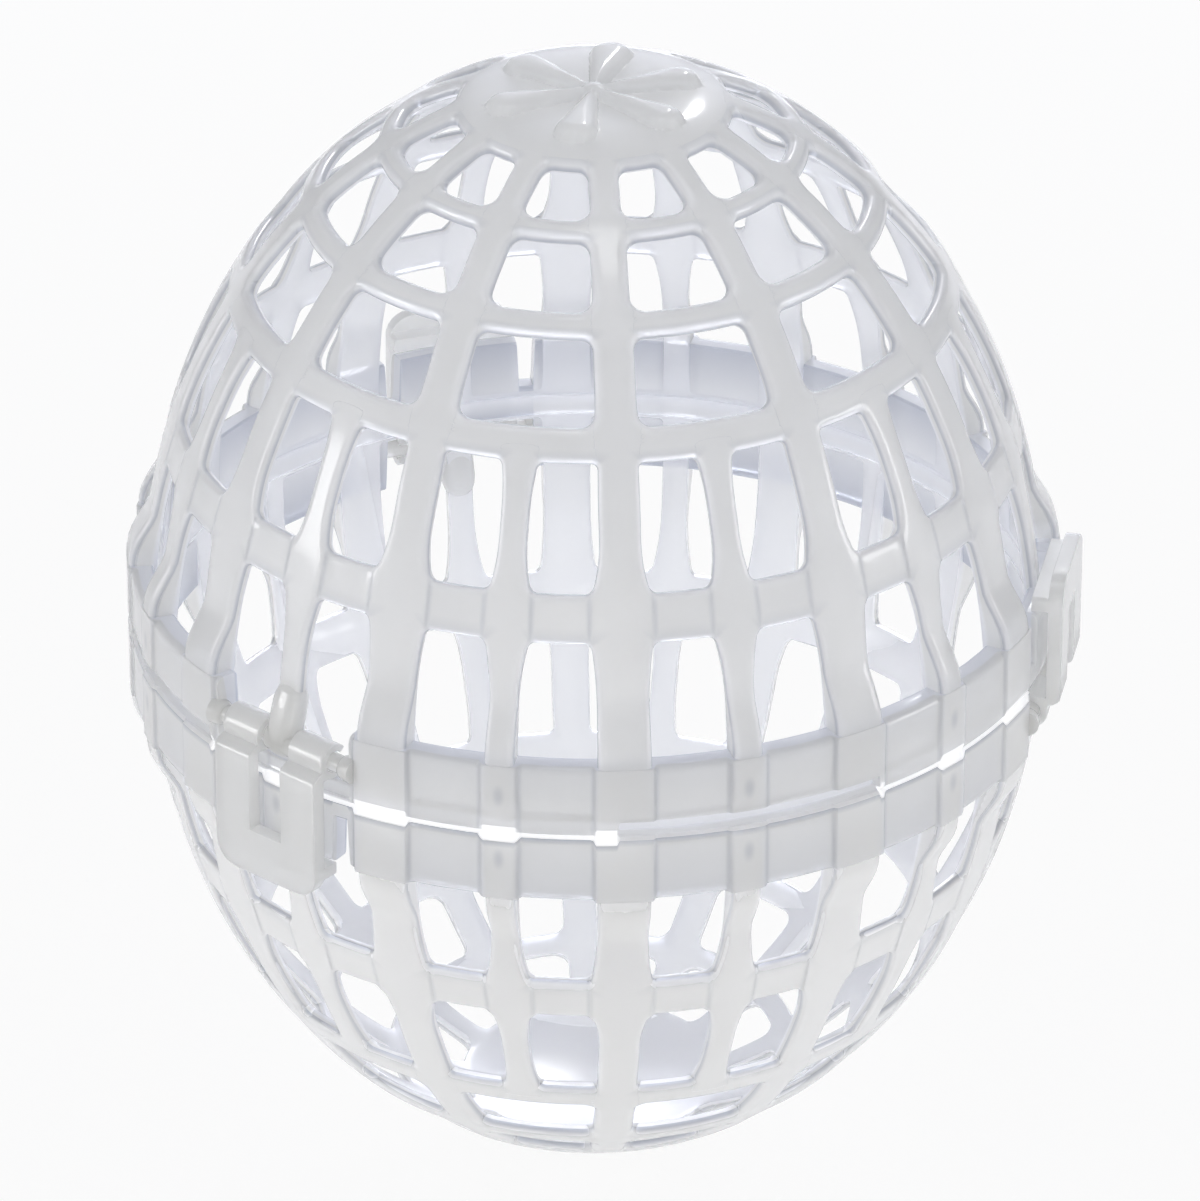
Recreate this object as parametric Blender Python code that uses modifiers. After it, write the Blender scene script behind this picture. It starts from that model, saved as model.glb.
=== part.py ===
"""Delicates wash ball: a two-part lattice cage that three clips hold shut.

Metres, +Z up. The origin is on the ball's axis, at the foot star that the ball stands on.
Azimuths run from the front, which is -Y, towards the right, which is +X.
"""

import math

import bmesh
import bpy
from mathutils import Matrix, Vector

MM = 0.001

# Dome of each half, on its outer skin
SHELL_RADIUS = 74.0 * MM
POLE_HEIGHT = 95.2 * MM
WALL = 2.2 * MM

# Lattice: latitudes are in degrees from the seam to the pole, widths are across the ring or rib
SECTORS = 12
BELT_LATITUDE = 21.4
BELT_WIDTH = 8.0 * MM
THIRD_RING_LATITUDE = 38.8
THIRD_RING_WIDTH = 5.4 * MM
SECOND_RING_LATITUDE = 51.7
SECOND_RING_WIDTH = 4.3 * MM
FIRST_RING_LATITUDE = 63.3
FIRST_RING_WIDTH = 3.9 * MM
CAP_RADIUS = 23.0 * MM
MAIN_RIB_AT_BAND = 8.6 * MM
MAIN_RIB_AT_CAP = 4.8 * MM
SIDE_RIB = 4.5 * MM
MAIN_RIB_FLARE = 2.2 * MM
SIDE_RIB_FLARE = 1.3 * MM
WINDOW_CORNER = 1.7 * MM

# Band round the seam, and the lip that centres the upper half on the lower one
BAND_PROUD = 2.2 * MM
BAND_HEIGHT = 12.0 * MM
BAND_INTO_WALL = 1.4 * MM
BAND_CHAMFER = 1.0 * MM
SEAM_GAP = 0.3 * MM
LIP_HEIGHT = 2.2 * MM
LIP_THICKNESS = 1.4 * MM
LIP_SET_BACK = 0.7 * MM
LIP_CLEARANCE = 0.3 * MM

# Finger recesses under the upper band
RECESS_HEIGHT = 2.6 * MM
RECESS_ANGLE = 28.0
RECESS_AZIMUTHS = (15.0, -75.0, 105.0)

# Star on each pole: six petals and a hub, whose flat crests lie in one plane
CREST_PROUD = 0.5 * MM
PETALS = 6
PETAL_REACH = 15.8 * MM
PETAL_WIDTH = 6.4 * MM
PETAL_ROOT_WIDTH = 1.6 * MM
PETAL_AZIMUTH = 45.0
HUB_RADIUS = 2.6 * MM
STAR_SINK = 0.3 * MM

# Rods that the clips turn on
ROD_RADIUS = 1.5 * MM
ROD_INSET = 2.2 * MM
ROD_SIDE_GAP = 3.3 * MM
SILL_HEIGHT = 2.6 * MM
SILL_SET_BACK = 1.6 * MM
BOSS_RADIUS = 2.2 * MM
BOSS_SET_BACK = 0.4 * MM
LUG_WIDTH = 5.8 * MM
LUG_RADIUS = 2.3 * MM
BULB_WIDTH = 5.8 * MM
BULB_DEPTH = 4.4 * MM
BULB_HEIGHT = 7.0 * MM

# Catch tab that a clip hooks over, between two notches in the band
NOTCH_SILL = 3.5 * MM
TAB_SIDE_GAP = 0.4 * MM

# Clip
CLIP_WIDTH = 21.4 * MM
CLIP_THICKNESS = 2.4 * MM
CLIP_STANDOFF = 0.35 * MM
CLIP_TAIL = 5.5 * MM
CLIP_CORNER = 3.0 * MM
KNUCKLE_WALL = 1.15 * MM
BORE_CLEARANCE = 0.3 * MM
MOUTH_ANGLE = 38.0
SLOT_SIDE_GAP = 0.4 * MM
SLOT_END = 15.5 * MM
HOOK_CLEARANCE = 0.35 * MM
HOOK_THICKNESS = 2.4 * MM
HOOK_DEPTH = 2.4 * MM
EDGE_EASE = 0.6 * MM

# Stations of the clips: azimuth, and the half whose band holds the rod
STATIONS = (
    ("clip_left", -45.0, "upper"),
    ("clip_right", 75.0, "lower"),
    ("clip_back", 195.0, "lower"),
)

BAND_STEPS = 48
ROUND_STEPS = 12
OVERCUT = 0.5 * MM

BAND_RADIUS = SHELL_RADIUS + BAND_PROUD
BAND_INSIDE = SHELL_RADIUS - BAND_INTO_WALL
LIP_INSIDE = BAND_INSIDE - LIP_SET_BACK
CREST_HEIGHT = POLE_HEIGHT + CREST_PROUD
ROD_REACH = BAND_RADIUS - ROD_INSET
ROD_HEIGHT = BAND_HEIGHT / 2
ROD_GAP_WIDTH = CLIP_WIDTH + 2 * ROD_SIDE_GAP
OPENING_TOP = BAND_HEIGHT + WINDOW_CORNER + OVERCUT
SEAM_CENTRE = Vector((0, 0, CREST_HEIGHT))
MERGE_DISTANCE = 0.00001


def clear_scene():
    for thing in list(bpy.data.objects):
        bpy.data.objects.remove(thing)


def new_collection(name):
    collection = bpy.data.collections.new(name)
    bpy.context.scene.collection.children.link(collection)
    return collection


def plastic(name, colour, roughness):
    material = bpy.data.materials.new(name)
    material.use_nodes = True
    shader = material.node_tree.nodes["Principled BSDF"]
    shader.inputs["Base Color"].default_value = (*colour, 1)
    shader.inputs["Roughness"].default_value = roughness
    shader.inputs["Metallic"].default_value = 0
    shader.inputs["IOR"].default_value = 1.49
    return material


def new_object(name, bm, collection, helper=False):
    mesh = bpy.data.meshes.new(name)
    bm.to_mesh(mesh)
    bm.free()
    thing = bpy.data.objects.new(name, mesh)
    collection.objects.link(thing)
    if helper:
        thing.hide_render = True
        thing.display_type = "WIRE"
    return thing


# Places

def half_matrix(half):
    """From a half that stands upright on the seam to its place in the ball."""
    turn = Matrix.Rotation(math.pi, 4, "X") if half == "lower" else Matrix()
    return Matrix.Translation(SEAM_CENTRE) @ turn


def station_matrix(azimuth, half):
    """From a station's frame (X along the rod, Y outwards, Z away from the seam) to the ball."""
    turn = Matrix.Rotation(math.radians(azimuth) + math.pi, 4, "Z")
    flip = Matrix.Rotation(math.pi, 4, "Y") if half == "lower" else Matrix()
    return Matrix.Translation(SEAM_CENTRE) @ turn @ flip


# Lattice dome

def skin_radius(latitude):
    return SHELL_RADIUS * math.cos(latitude)


def skin_height(latitude):
    return POLE_HEIGHT * math.sin(latitude)


def ring_edges(latitude_deg, width):
    """Latitudes of the two edges of a ring of the given width."""
    middle = math.radians(latitude_deg)
    run = math.hypot(SHELL_RADIUS * math.sin(middle), POLE_HEIGHT * math.cos(middle))
    half = width / 2 / run
    return middle - half, middle + half


def lattice_lines():
    """Latitude lines from the rim to the pole, each with what lies above it and its rib flare.

    A slot row has two openings in a sector, with a side rib between them, and a window row has one.
    """
    rim = math.asin((LIP_HEIGHT + LIP_CLEARANCE) / POLE_HEIGHT)
    band_edge = math.asin(BAND_HEIGHT / POLE_HEIGHT)
    belt = ring_edges(BELT_LATITUDE, BELT_WIDTH)
    third = ring_edges(THIRD_RING_LATITUDE, THIRD_RING_WIDTH)
    second = ring_edges(SECOND_RING_LATITUDE, SECOND_RING_WIDTH)
    first = ring_edges(FIRST_RING_LATITUDE, FIRST_RING_WIDTH)
    cap_edge = math.acos(CAP_RADIUS / SHELL_RADIUS)
    cap_steps = 3
    lines = [
        (rim, "solid", 0.0),
        (band_edge, "slots", 0.0),
        ((band_edge + belt[0]) / 2, "slots", 0.0),
        (belt[0], "solid", 1.0),
        (belt[1], "slots", 0.8),
        ((belt[1] + third[0]) / 2, "slots", 0.0),
        (third[0], "solid", 0.2),
        (third[1], "windows", 0.4),
        (second[0], "solid", 0.3),
        (second[1], "windows", 0.3),
        (first[0], "solid", 0.2),
        (first[1], "windows", 0.2),
    ]
    for step in range(cap_steps):
        share = step / cap_steps
        lines.append((cap_edge + (math.pi / 2 - cap_edge) * share, "solid", 0.0))
    lines.append((math.pi / 2, "solid", 0.0))
    return lines


def rib_half_angles(latitude, flare):
    """Half angles that the main and the side rib cover at a latitude.

    Above the third ring there is no side rib, and its two edges meet in one line.
    """
    cap_edge = math.acos(CAP_RADIUS / SHELL_RADIUS)
    level = min(latitude, cap_edge)
    share = level / cap_edge
    main = MAIN_RIB_AT_BAND + (MAIN_RIB_AT_CAP - MAIN_RIB_AT_BAND) * share + MAIN_RIB_FLARE * flare
    side = SIDE_RIB + SIDE_RIB_FLARE * flare if has_side_rib(latitude) else 0
    return main / 2 / skin_radius(level), side / 2 / skin_radius(level)


def has_side_rib(latitude):
    return latitude < math.radians(THIRD_RING_LATITUDE)


def column_angle(column, latitude, flare):
    """Azimuth of a column line: each sector has two edges of its main and two of its side rib."""
    sector, place = divmod(column, 4)
    pitch = 2 * math.pi / SECTORS
    main, side = rib_half_angles(latitude, flare)
    offsets = (-main, main, pitch / 2 - side, pitch / 2 + side)
    return sector * pitch + offsets[place]


def is_open(row_kind, column):
    """Whether the grid face to the right of a column line is part of a window."""
    place = column % 4
    if row_kind == "slots":
        return place in (1, 3)
    return row_kind == "windows" and place != 0


def window_corners(lines, columns):
    """Grid places of the corners of the windows and slots."""
    kinds = [kind for _, kind, _ in lines[:-1]]
    for row, kind in enumerate(kinds):
        for line, beyond in ((row, row - 1), (row + 1, row + 1)):
            if kind == "solid" or kinds[beyond] != "solid":
                continue
            for column in range(columns):
                if is_open(kind, column) != is_open(kind, (column - 1) % columns):
                    yield column, line


def cut_corner(bm, corner):
    """Fill a window's corner with a triangle, so that its outline turns in two steps."""
    ends = []
    for edge in [e for e in corner.link_edges if e.is_boundary]:
        share = min(WINDOW_CORNER / edge.calc_length(), 0.45)
        ends.append(bmesh.utils.edge_split(edge, corner, share)[1])
    bm.faces.new((corner, *ends))


def lattice_dome(name, collection):
    """Lattice skin of one half, standing upright on the seam, with a wall inside it."""
    lines = lattice_lines()
    rows = len(lines) - 1
    columns = 4 * SECTORS
    bm = bmesh.new()
    bmesh.ops.create_grid(bm, x_segments=columns, y_segments=rows, size=0.5)
    place = {}
    for vert in bm.verts:
        place[vert] = (round((vert.co.x + 0.5) * columns), round((vert.co.y + 0.5) * rows))
    holes = []
    for face in bm.faces:
        middle = face.calc_center_median()
        column = int((middle.x + 0.5) * columns)
        row = int((middle.y + 0.5) * rows)
        if is_open(lines[row][1], column):
            holes.append(face)
    grid = {}
    for vert, (column, row) in place.items():
        latitude, _, flare = lines[row]
        angle = column_angle(column, latitude, flare)
        radius = skin_radius(latitude)
        vert.co = (radius * math.sin(angle), -radius * math.cos(angle), skin_height(latitude))
        grid[column, row] = vert
    targets = {grid[columns, row]: grid[0, row] for row in range(rows)}
    for (column, row), vert in grid.items():
        if column % 4 == 3 and row < rows and not has_side_rib(lines[row][0]):
            targets[vert] = grid[column - 1, row]
    pole = grid[0, rows]
    targets.update({grid[column, rows]: pole for column in range(1, columns + 1)})
    bmesh.ops.delete(bm, geom=holes, context="FACES_ONLY")
    bmesh.ops.weld_verts(bm, targetmap=targets)
    bmesh.ops.delete(bm, geom=[e for e in bm.edges if not e.link_faces], context="EDGES")
    for key in window_corners(lines, columns):
        cut_corner(bm, grid[key])
    bmesh.ops.recalc_face_normals(bm, faces=bm.faces)
    dome = new_object(name, bm, collection)
    wall = dome.modifiers.new("wall", "SOLIDIFY")
    wall.thickness = WALL
    wall.offset = -1
    wall.use_even_offset = True
    return dome


# Solids that are joined to a half or cut from it

def turned_ring(name, profile, collection):
    """A closed profile of (radius, height) points, turned round the ball's axis."""
    bm = bmesh.new()
    verts = [bm.verts.new((radius, 0, height)) for radius, height in profile]
    for start, end in zip(verts, verts[1:] + verts[:1]):
        bm.edges.new((start, end))
    ring = new_object(name, bm, collection, helper=True)
    screw = ring.modifiers.new("turn", "SCREW")
    screw.steps = BAND_STEPS
    screw.render_steps = BAND_STEPS
    screw.use_merge_vertices = True
    screw.merge_threshold = MERGE_DISTANCE
    return ring


def band_profile(half):
    """Section of the band above the seam; the lower half's carries the lip."""
    rim = SEAM_GAP / 2
    top = BAND_HEIGHT
    outside = [
        (BAND_INSIDE, top),
        (BAND_RADIUS - BAND_CHAMFER, top),
        (BAND_RADIUS, top - BAND_CHAMFER),
        (BAND_RADIUS, rim),
    ]
    lip_outside = LIP_INSIDE + LIP_THICKNESS
    if half == "lower":
        lip_top = -LIP_HEIGHT
        return outside + [
            (lip_outside, rim),
            (lip_outside, lip_top),
            (LIP_INSIDE, lip_top),
            (LIP_INSIDE, LIP_HEIGHT + 2 * LIP_CLEARANCE),
            (BAND_INSIDE, LIP_HEIGHT + 3 * LIP_CLEARANCE),
        ]
    seat = lip_outside + LIP_CLEARANCE
    return outside + [
        (seat, rim),
        (seat, LIP_HEIGHT + LIP_CLEARANCE + OVERCUT),
        (BAND_INSIDE, LIP_HEIGHT + LIP_CLEARANCE + OVERCUT),
    ]


def prism(name, outline, along, collection, helper=True):
    """A flat outline of points, drawn out along a vector."""
    bm = bmesh.new()
    face = bm.faces.new([bm.verts.new(point) for point in outline])
    grown = bmesh.ops.extrude_face_region(bm, geom=[face])
    far = [v for v in grown["geom"] if isinstance(v, bmesh.types.BMVert)]
    bmesh.ops.translate(bm, verts=far, vec=along)
    bmesh.ops.recalc_face_normals(bm, faces=bm.faces)
    return new_object(name, bm, collection, helper)


def block(name, low, high, collection):
    """A box between two corners."""
    bm = bmesh.new()
    bmesh.ops.create_cube(bm, size=1)
    low = Vector(low)
    size = Vector(high) - low
    for vert in bm.verts:
        vert.co = low + size * 0.5 + Vector(c * s for c, s in zip(vert.co, size))
    return new_object(name, bm, collection, helper=True)


def arc_block(name, inside, outside, bottom, top, azimuth, angle, collection):
    """A stretch of a ring of rectangular section, centred on an azimuth."""
    bm = bmesh.new()
    start = math.radians(azimuth - angle / 2)
    outward = Vector((math.sin(start), -math.cos(start), 0))
    corners = ((inside, bottom), (outside, bottom), (outside, top), (inside, top))
    verts = [bm.verts.new(outward * r + Vector((0, 0, z))) for r, z in corners]
    face = bm.faces.new(verts)
    bmesh.ops.spin(bm, geom=[face, *face.edges, *face.verts], axis=(0, 0, 1), cent=(0, 0, 0),
                   angle=math.radians(angle), steps=ROUND_STEPS // 2, use_duplicate=False)
    bmesh.ops.recalc_face_normals(bm, faces=bm.faces)
    return new_object(name, bm, collection, helper=True)


def rod_solid(name, radius, length, collection):
    """A round bar along X, centred on the rod axis of a station."""
    bm = bmesh.new()
    bmesh.ops.create_cone(bm, cap_ends=True, segments=ROUND_STEPS, radius1=radius, radius2=radius,
                          depth=length, matrix=Matrix.Rotation(math.pi / 2, 4, "Y"))
    bmesh.ops.translate(bm, verts=bm.verts, vec=(0, ROD_REACH, ROD_HEIGHT))
    return new_object(name, bm, collection, helper=True)


def bulb(name, collection):
    """The round end of the side rib, from which the lug reaches down to the rod."""
    bm = bmesh.new()
    bmesh.ops.create_uvsphere(bm, u_segments=10, v_segments=6, radius=0.5)
    bmesh.ops.scale(bm, verts=bm.verts, vec=(BULB_WIDTH, BULB_DEPTH, BULB_HEIGHT))
    wall_middle = skin_radius(math.asin(BAND_HEIGHT / POLE_HEIGHT)) - WALL / 2
    bmesh.ops.translate(bm, verts=bm.verts, vec=(0, wall_middle, BAND_HEIGHT + OVERCUT))
    return new_object(name, bm, collection, helper=True)


def boss(name, side, collection):
    """The round boss where a rod enters the end of the band."""
    bm = bmesh.new()
    bmesh.ops.create_uvsphere(bm, u_segments=8, v_segments=6, radius=BOSS_RADIUS)
    across = side * (ROD_GAP_WIDTH / 2 + BOSS_RADIUS / 3)
    bmesh.ops.translate(bm, verts=bm.verts, vec=(across, ROD_REACH - BOSS_SET_BACK, ROD_HEIGHT))
    return new_object(name, bm, collection, helper=True)


def star_depth():
    """From the crests down to just under the skin at the petals' outer ends."""
    return CREST_HEIGHT - skin_height(math.acos(PETAL_REACH / SHELL_RADIUS)) + STAR_SINK


def petal(name, azimuth, collection):
    """A teardrop that widens from the hub to its round end, with its crest flat."""
    root = HUB_RADIUS * 2 / 3
    end_radius = PETAL_WIDTH / 2
    end_centre = PETAL_REACH - end_radius
    sweep = math.acos((end_radius - PETAL_ROOT_WIDTH / 2) / (end_centre - root))
    points = [(root, -PETAL_ROOT_WIDTH / 2)]
    steps = ROUND_STEPS // 2
    for step in range(steps + 1):
        angle = -sweep + 2 * sweep * step / steps
        points.append((end_centre + end_radius * math.cos(angle), end_radius * math.sin(angle)))
    points.append((root, PETAL_ROOT_WIDTH / 2))
    turn = Matrix.Rotation(math.radians(azimuth) - math.pi / 2, 4, "Z")
    outline = [turn @ Vector((x, y, CREST_HEIGHT)) for x, y in points]
    return prism(name, outline, (0, 0, -star_depth()), collection)


def hub(name, collection):
    bm = bmesh.new()
    depth = star_depth()
    bmesh.ops.create_cone(bm, cap_ends=True, segments=ROUND_STEPS, radius1=HUB_RADIUS,
                          radius2=HUB_RADIUS, depth=depth)
    bmesh.ops.translate(bm, verts=bm.verts, vec=(0, 0, CREST_HEIGHT - depth / 2))
    return new_object(name, bm, collection, helper=True)


def boolean(target, operation, collection):
    step = target.modifiers.new(collection.name, "BOOLEAN")
    step.operation = operation
    step.operand_type = "COLLECTION"
    step.collection = collection
    step.solver = "EXACT"


# Halves

def band_and_star(half, collection):
    turned_ring(f"{half}_band", band_profile(half), collection)
    hub(f"{half}_hub", collection)
    for index in range(PETALS):
        petal(f"{half}_petal_{index}", PETAL_AZIMUTH + 360 / PETALS * index, collection)
    for thing in collection.objects:
        thing.matrix_world = half_matrix(half)


def rod_opening(name, azimuth, half, collection):
    """Cuts the band away round a rod, but for a set-back sill along the seam."""
    left = -ROD_GAP_WIDTH / 2
    inside = ROD_REACH - 4 * LUG_RADIUS
    outside = BAND_RADIUS + CLIP_THICKNESS
    sill = BAND_RADIUS - SILL_SET_BACK
    section = ((inside, SILL_HEIGHT), (sill, SILL_HEIGHT), (sill, -OVERCUT),
               (outside, -OVERCUT), (outside, OPENING_TOP), (inside, OPENING_TOP))
    outline = [(left, y, z) for y, z in section]
    cut = prism(name, outline, (ROD_GAP_WIDTH, 0, 0), collection)
    cut.matrix_world = station_matrix(azimuth, half)


def tab_notches(name, azimuth, half, collection):
    """Cuts a notch in the band on each side of the tab that a clip hooks over."""
    near = CLIP_WIDTH / 2 + TAB_SIDE_GAP
    far = ROD_GAP_WIDTH / 2
    for side, (left, right) in (("a", (-far, -near)), ("b", (near, far))):
        inside = (left, ROD_REACH - 4 * LUG_RADIUS, NOTCH_SILL)
        outside = (right, BAND_RADIUS + CLIP_THICKNESS, OPENING_TOP)
        cut = block(f"{name}_{side}", inside, outside, collection)
        cut.matrix_world = station_matrix(azimuth, half)


def rod_and_lug(name, azimuth, half, collection):
    """The rod across its opening, with the lug and bulb that the side rib ends in."""
    neck_inside = ROD_REACH - LUG_RADIUS
    pieces = [
        rod_solid(f"{name}_rod", ROD_RADIUS, ROD_GAP_WIDTH + BOSS_RADIUS, collection),
        rod_solid(f"{name}_lug", LUG_RADIUS, LUG_WIDTH, collection),
        block(f"{name}_neck", (-LUG_WIDTH / 2, neck_inside, ROD_HEIGHT),
              (LUG_WIDTH / 2, ROD_REACH + ROD_RADIUS / 2, BAND_HEIGHT + OVERCUT), collection),
        bulb(f"{name}_bulb", collection),
        boss(f"{name}_boss_a", -1, collection),
        boss(f"{name}_boss_b", 1, collection),
    ]
    for piece in pieces:
        piece.matrix_world = station_matrix(azimuth, half)


def recesses(collection):
    for index, azimuth in enumerate(RECESS_AZIMUTHS):
        inside = LIP_INSIDE + LIP_THICKNESS + LIP_CLEARANCE / 2
        cut = arc_block(f"recess_{index}", inside, BAND_RADIUS + CLIP_THICKNESS, -SEAM_GAP / 2,
                        RECESS_HEIGHT, azimuth, RECESS_ANGLE, collection)
        cut.matrix_world = half_matrix("upper")


def make_half(half, parts, helpers, material):
    shell = lattice_dome(f"{half}_shell", parts)
    shell.matrix_world = half_matrix(half)
    shell.data.materials.append(material)
    joined = bpy.data.collections.new(f"{half}_band_and_star")
    cuts = bpy.data.collections.new(f"{half}_openings")
    rods = bpy.data.collections.new(f"{half}_rods")
    for collection in (joined, cuts, rods):
        helpers.children.link(collection)
    band_and_star(half, joined)
    for name, azimuth, rod_half in STATIONS:
        if rod_half == half:
            rod_opening(f"{name}_opening", azimuth, half, cuts)
            rod_and_lug(name, azimuth, half, rods)
        else:
            tab_notches(f"{name}_notch", azimuth, half, cuts)
    if half == "upper":
        recesses(cuts)
    boolean(shell, "UNION", joined)
    boolean(shell, "DIFFERENCE", cuts)
    boolean(shell, "UNION", rods)
    return shell


# Clips

def arc(radius, start, end, steps):
    """Points on a circle round the rod, from one angle in degrees to another."""
    angles = [math.radians(start + (end - start) * i / steps) for i in range(steps + 1)]
    return [(radius * math.cos(a), radius * math.sin(a)) for a in angles]


def clip_profile():
    """Side outline of a clip: Y outwards from the rod's axis, Z up, the hook at the bottom."""
    bore = ROD_RADIUS + BORE_CLEARANCE
    knuckle = bore + KNUCKLE_WALL
    inner = BAND_RADIUS - ROD_REACH + CLIP_STANDOFF
    outer = inner + CLIP_THICKNESS
    ledge = ROD_HEIGHT + BAND_HEIGHT
    hook_top = -(ledge + HOOK_CLEARANCE)
    hook_bottom = hook_top - HOOK_THICKNESS
    tail = -(ledge + CLIP_TAIL)
    hook_tip = BAND_RADIUS - ROD_REACH - HOOK_DEPTH
    mouth = 180 - MOUTH_ANGLE
    shoulder = 30
    meet = -60
    meet_height = knuckle * math.sin(math.radians(meet))
    return [
        *arc(knuckle, mouth, shoulder, ROUND_STEPS // 2),
        (outer, -knuckle / 2),
        (outer, tail + EDGE_EASE),
        (outer - EDGE_EASE, tail),
        (inner + EDGE_EASE / 2, tail),
        (inner, tail + EDGE_EASE),
        (inner, hook_bottom),
        (hook_tip + EDGE_EASE, hook_bottom),
        (hook_tip, hook_bottom + EDGE_EASE),
        (hook_tip, hook_top),
        (inner, hook_top),
        (inner, meet_height),
        *arc(knuckle, meet, -mouth, ROUND_STEPS // 3),
        *arc(bore, -mouth, mouth, ROUND_STEPS),
    ]


def clip_blank(name, collection):
    """The clip's outline at full width, with the tail's corners rounded."""
    half_width = CLIP_WIDTH / 2
    outline = [(-half_width, y, z) for y, z in clip_profile()]
    return prism(name, outline, (CLIP_WIDTH, 0, 0), collection, helper=False)


def tail_corner(name, side, collection):
    """What the round corner of the tail leaves away, as a block with a quarter round bite."""
    tail = -(ROD_HEIGHT + BAND_HEIGHT + CLIP_TAIL)
    edge = side * CLIP_WIDTH / 2
    centre_x = edge - side * CLIP_CORNER
    centre_z = tail + CLIP_CORNER
    points = [(edge + side * OVERCUT, centre_z), (edge + side * OVERCUT, tail - OVERCUT),
              (centre_x, tail - OVERCUT)]
    steps = 4
    for step in range(steps + 1):
        angle = math.pi / 2 * step / steps
        points.append((centre_x + side * CLIP_CORNER * math.sin(angle),
                       centre_z - CLIP_CORNER * math.cos(angle)))
    depth = 2 * CLIP_THICKNESS + BAND_RADIUS - ROD_REACH
    outline = [(x, -depth, z) for x, z in points]
    return prism(name, outline, (0, 2 * depth, 0), collection)


def make_clip(name, azimuth, half, parts, helpers, material):
    """A clip whose origin is on its rod's axis."""
    clip = clip_blank(name, parts)
    clip.data.materials.append(material)
    cuts = bpy.data.collections.new(f"{name}_cuts")
    helpers.children.link(cuts)
    slot_half = LUG_WIDTH / 2 + SLOT_SIDE_GAP
    block(f"{name}_slot", (-slot_half, -LUG_RADIUS * 2, -SLOT_END),
          (slot_half, LUG_RADIUS * 4, LUG_RADIUS * 2), cuts)
    for side, label in ((-1, "a"), (1, "b")):
        tail_corner(f"{name}_corner_{label}", side, cuts)
    boolean(clip, "DIFFERENCE", cuts)
    place = station_matrix(azimuth, half) @ Matrix.Translation((0, ROD_REACH, ROD_HEIGHT))
    for thing in [clip, *cuts.objects]:
        thing.matrix_world = place
    return clip


def hang(child, parent):
    """Parent a piece and keep its place."""
    child.parent = parent
    child.matrix_parent_inverse = parent.matrix_world.inverted()


def main():
    clear_scene()
    parts = new_collection("delicates_wash_ball")
    helpers = new_collection("cutters")
    lower_plastic = plastic("natural_polypropylene_lower", (0.80, 0.82, 0.86), 0.32)
    upper_plastic = plastic("natural_polypropylene_upper", (0.84, 0.86, 0.89), 0.32)
    clip_plastic = plastic("clear_polypropylene_clips", (0.88, 0.90, 0.93), 0.25)
    lower = make_half("lower", parts, helpers, lower_plastic)
    upper = make_half("upper", parts, helpers, upper_plastic)
    clips = {}
    for name, azimuth, half in STATIONS:
        clips[name] = make_clip(name, azimuth, half, parts, helpers, clip_plastic)
    lid_hinge = bpy.data.objects.new("lid_hinge", None)
    parts.objects.link(lid_hinge)
    lid_hinge.matrix_world = clips["clip_back"].matrix_world.copy()
    hang(upper, lid_hinge)
    hang(clips["clip_back"], lid_hinge)
    hang(clips["clip_left"], upper)
    hang(clips["clip_right"], lower)


main()
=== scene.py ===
"""Render scene of a delicates wash ball: a lattice cage of two domes that three clips hold shut.

Every length is in metres. Each dome is worked out upright on the seam, with its pole up,
and is then put in its place in the ball. Azimuths run from the front (-Y) to the right (+X).
"""

import logging
import math
from dataclasses import dataclass, field
from enum import Enum

import bmesh
import bpy
import numpy as np
from mathutils import Matrix, Vector


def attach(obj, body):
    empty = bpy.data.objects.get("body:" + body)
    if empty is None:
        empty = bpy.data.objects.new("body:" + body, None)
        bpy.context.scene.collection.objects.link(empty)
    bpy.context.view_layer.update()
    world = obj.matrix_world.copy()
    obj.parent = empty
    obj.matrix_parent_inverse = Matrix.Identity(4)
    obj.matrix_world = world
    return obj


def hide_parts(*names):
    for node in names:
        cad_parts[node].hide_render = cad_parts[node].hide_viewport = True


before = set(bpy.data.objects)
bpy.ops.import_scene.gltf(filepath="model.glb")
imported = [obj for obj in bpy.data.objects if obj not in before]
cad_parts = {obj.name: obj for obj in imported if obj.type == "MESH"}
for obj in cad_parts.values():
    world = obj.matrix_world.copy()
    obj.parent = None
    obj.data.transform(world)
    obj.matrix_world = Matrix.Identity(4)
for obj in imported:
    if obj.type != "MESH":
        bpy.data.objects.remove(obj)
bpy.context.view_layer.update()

log = logging.getLogger("wash_ball")

MM = 0.001
SEAM_HEIGHT = 95.7 * MM
IMAGE_WIDTH = 1200


class Half(Enum):
    """The two halves of the ball, by the name of the body that each belongs to."""

    LOWER = "lower"
    UPPER = "upper"


@dataclass(frozen=True)
class Station:
    """Where a clip sits.

    Attributes:
        clip: Name of the clip's CAD node.
        azimuth: Azimuth in degrees.
        rod_half: The half whose band carries the clip's rod.
        body: Body that the clip moves with.
    """

    clip: str
    azimuth: float
    rod_half: Half
    body: str


STATIONS = (
    Station("clip_left", -45.0, Half.UPPER, "clip_left"),
    Station("clip_right", 75.0, Half.LOWER, "clip_right"),
    Station("clip_back", 195.0, Half.LOWER, "upper"),
)


def smooth_step(x: np.ndarray) -> np.ndarray:
    """Rise from 0 to 1 as x goes from 0 to 1: three x squared less two x cubed.

    Args:
        x: Any values.

    Returns:
        Values from 0 to 1.
    """
    x = np.clip(x, 0.0, 1.0)
    return x * x * (3.0 - 2.0 * x)


def half_place(half: Half) -> np.ndarray:
    """Matrix from a half that stands on the seam to its place in the ball.

    Args:
        half: Which half. The lower one is turned half a turn about X.

    Returns:
        A 4 by 4 matrix.
    """
    turn = Matrix.Rotation(math.pi, 4, "X") if half is Half.LOWER else Matrix()
    return np.array(Matrix.Translation((0.0, 0.0, SEAM_HEIGHT)) @ turn)


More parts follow.
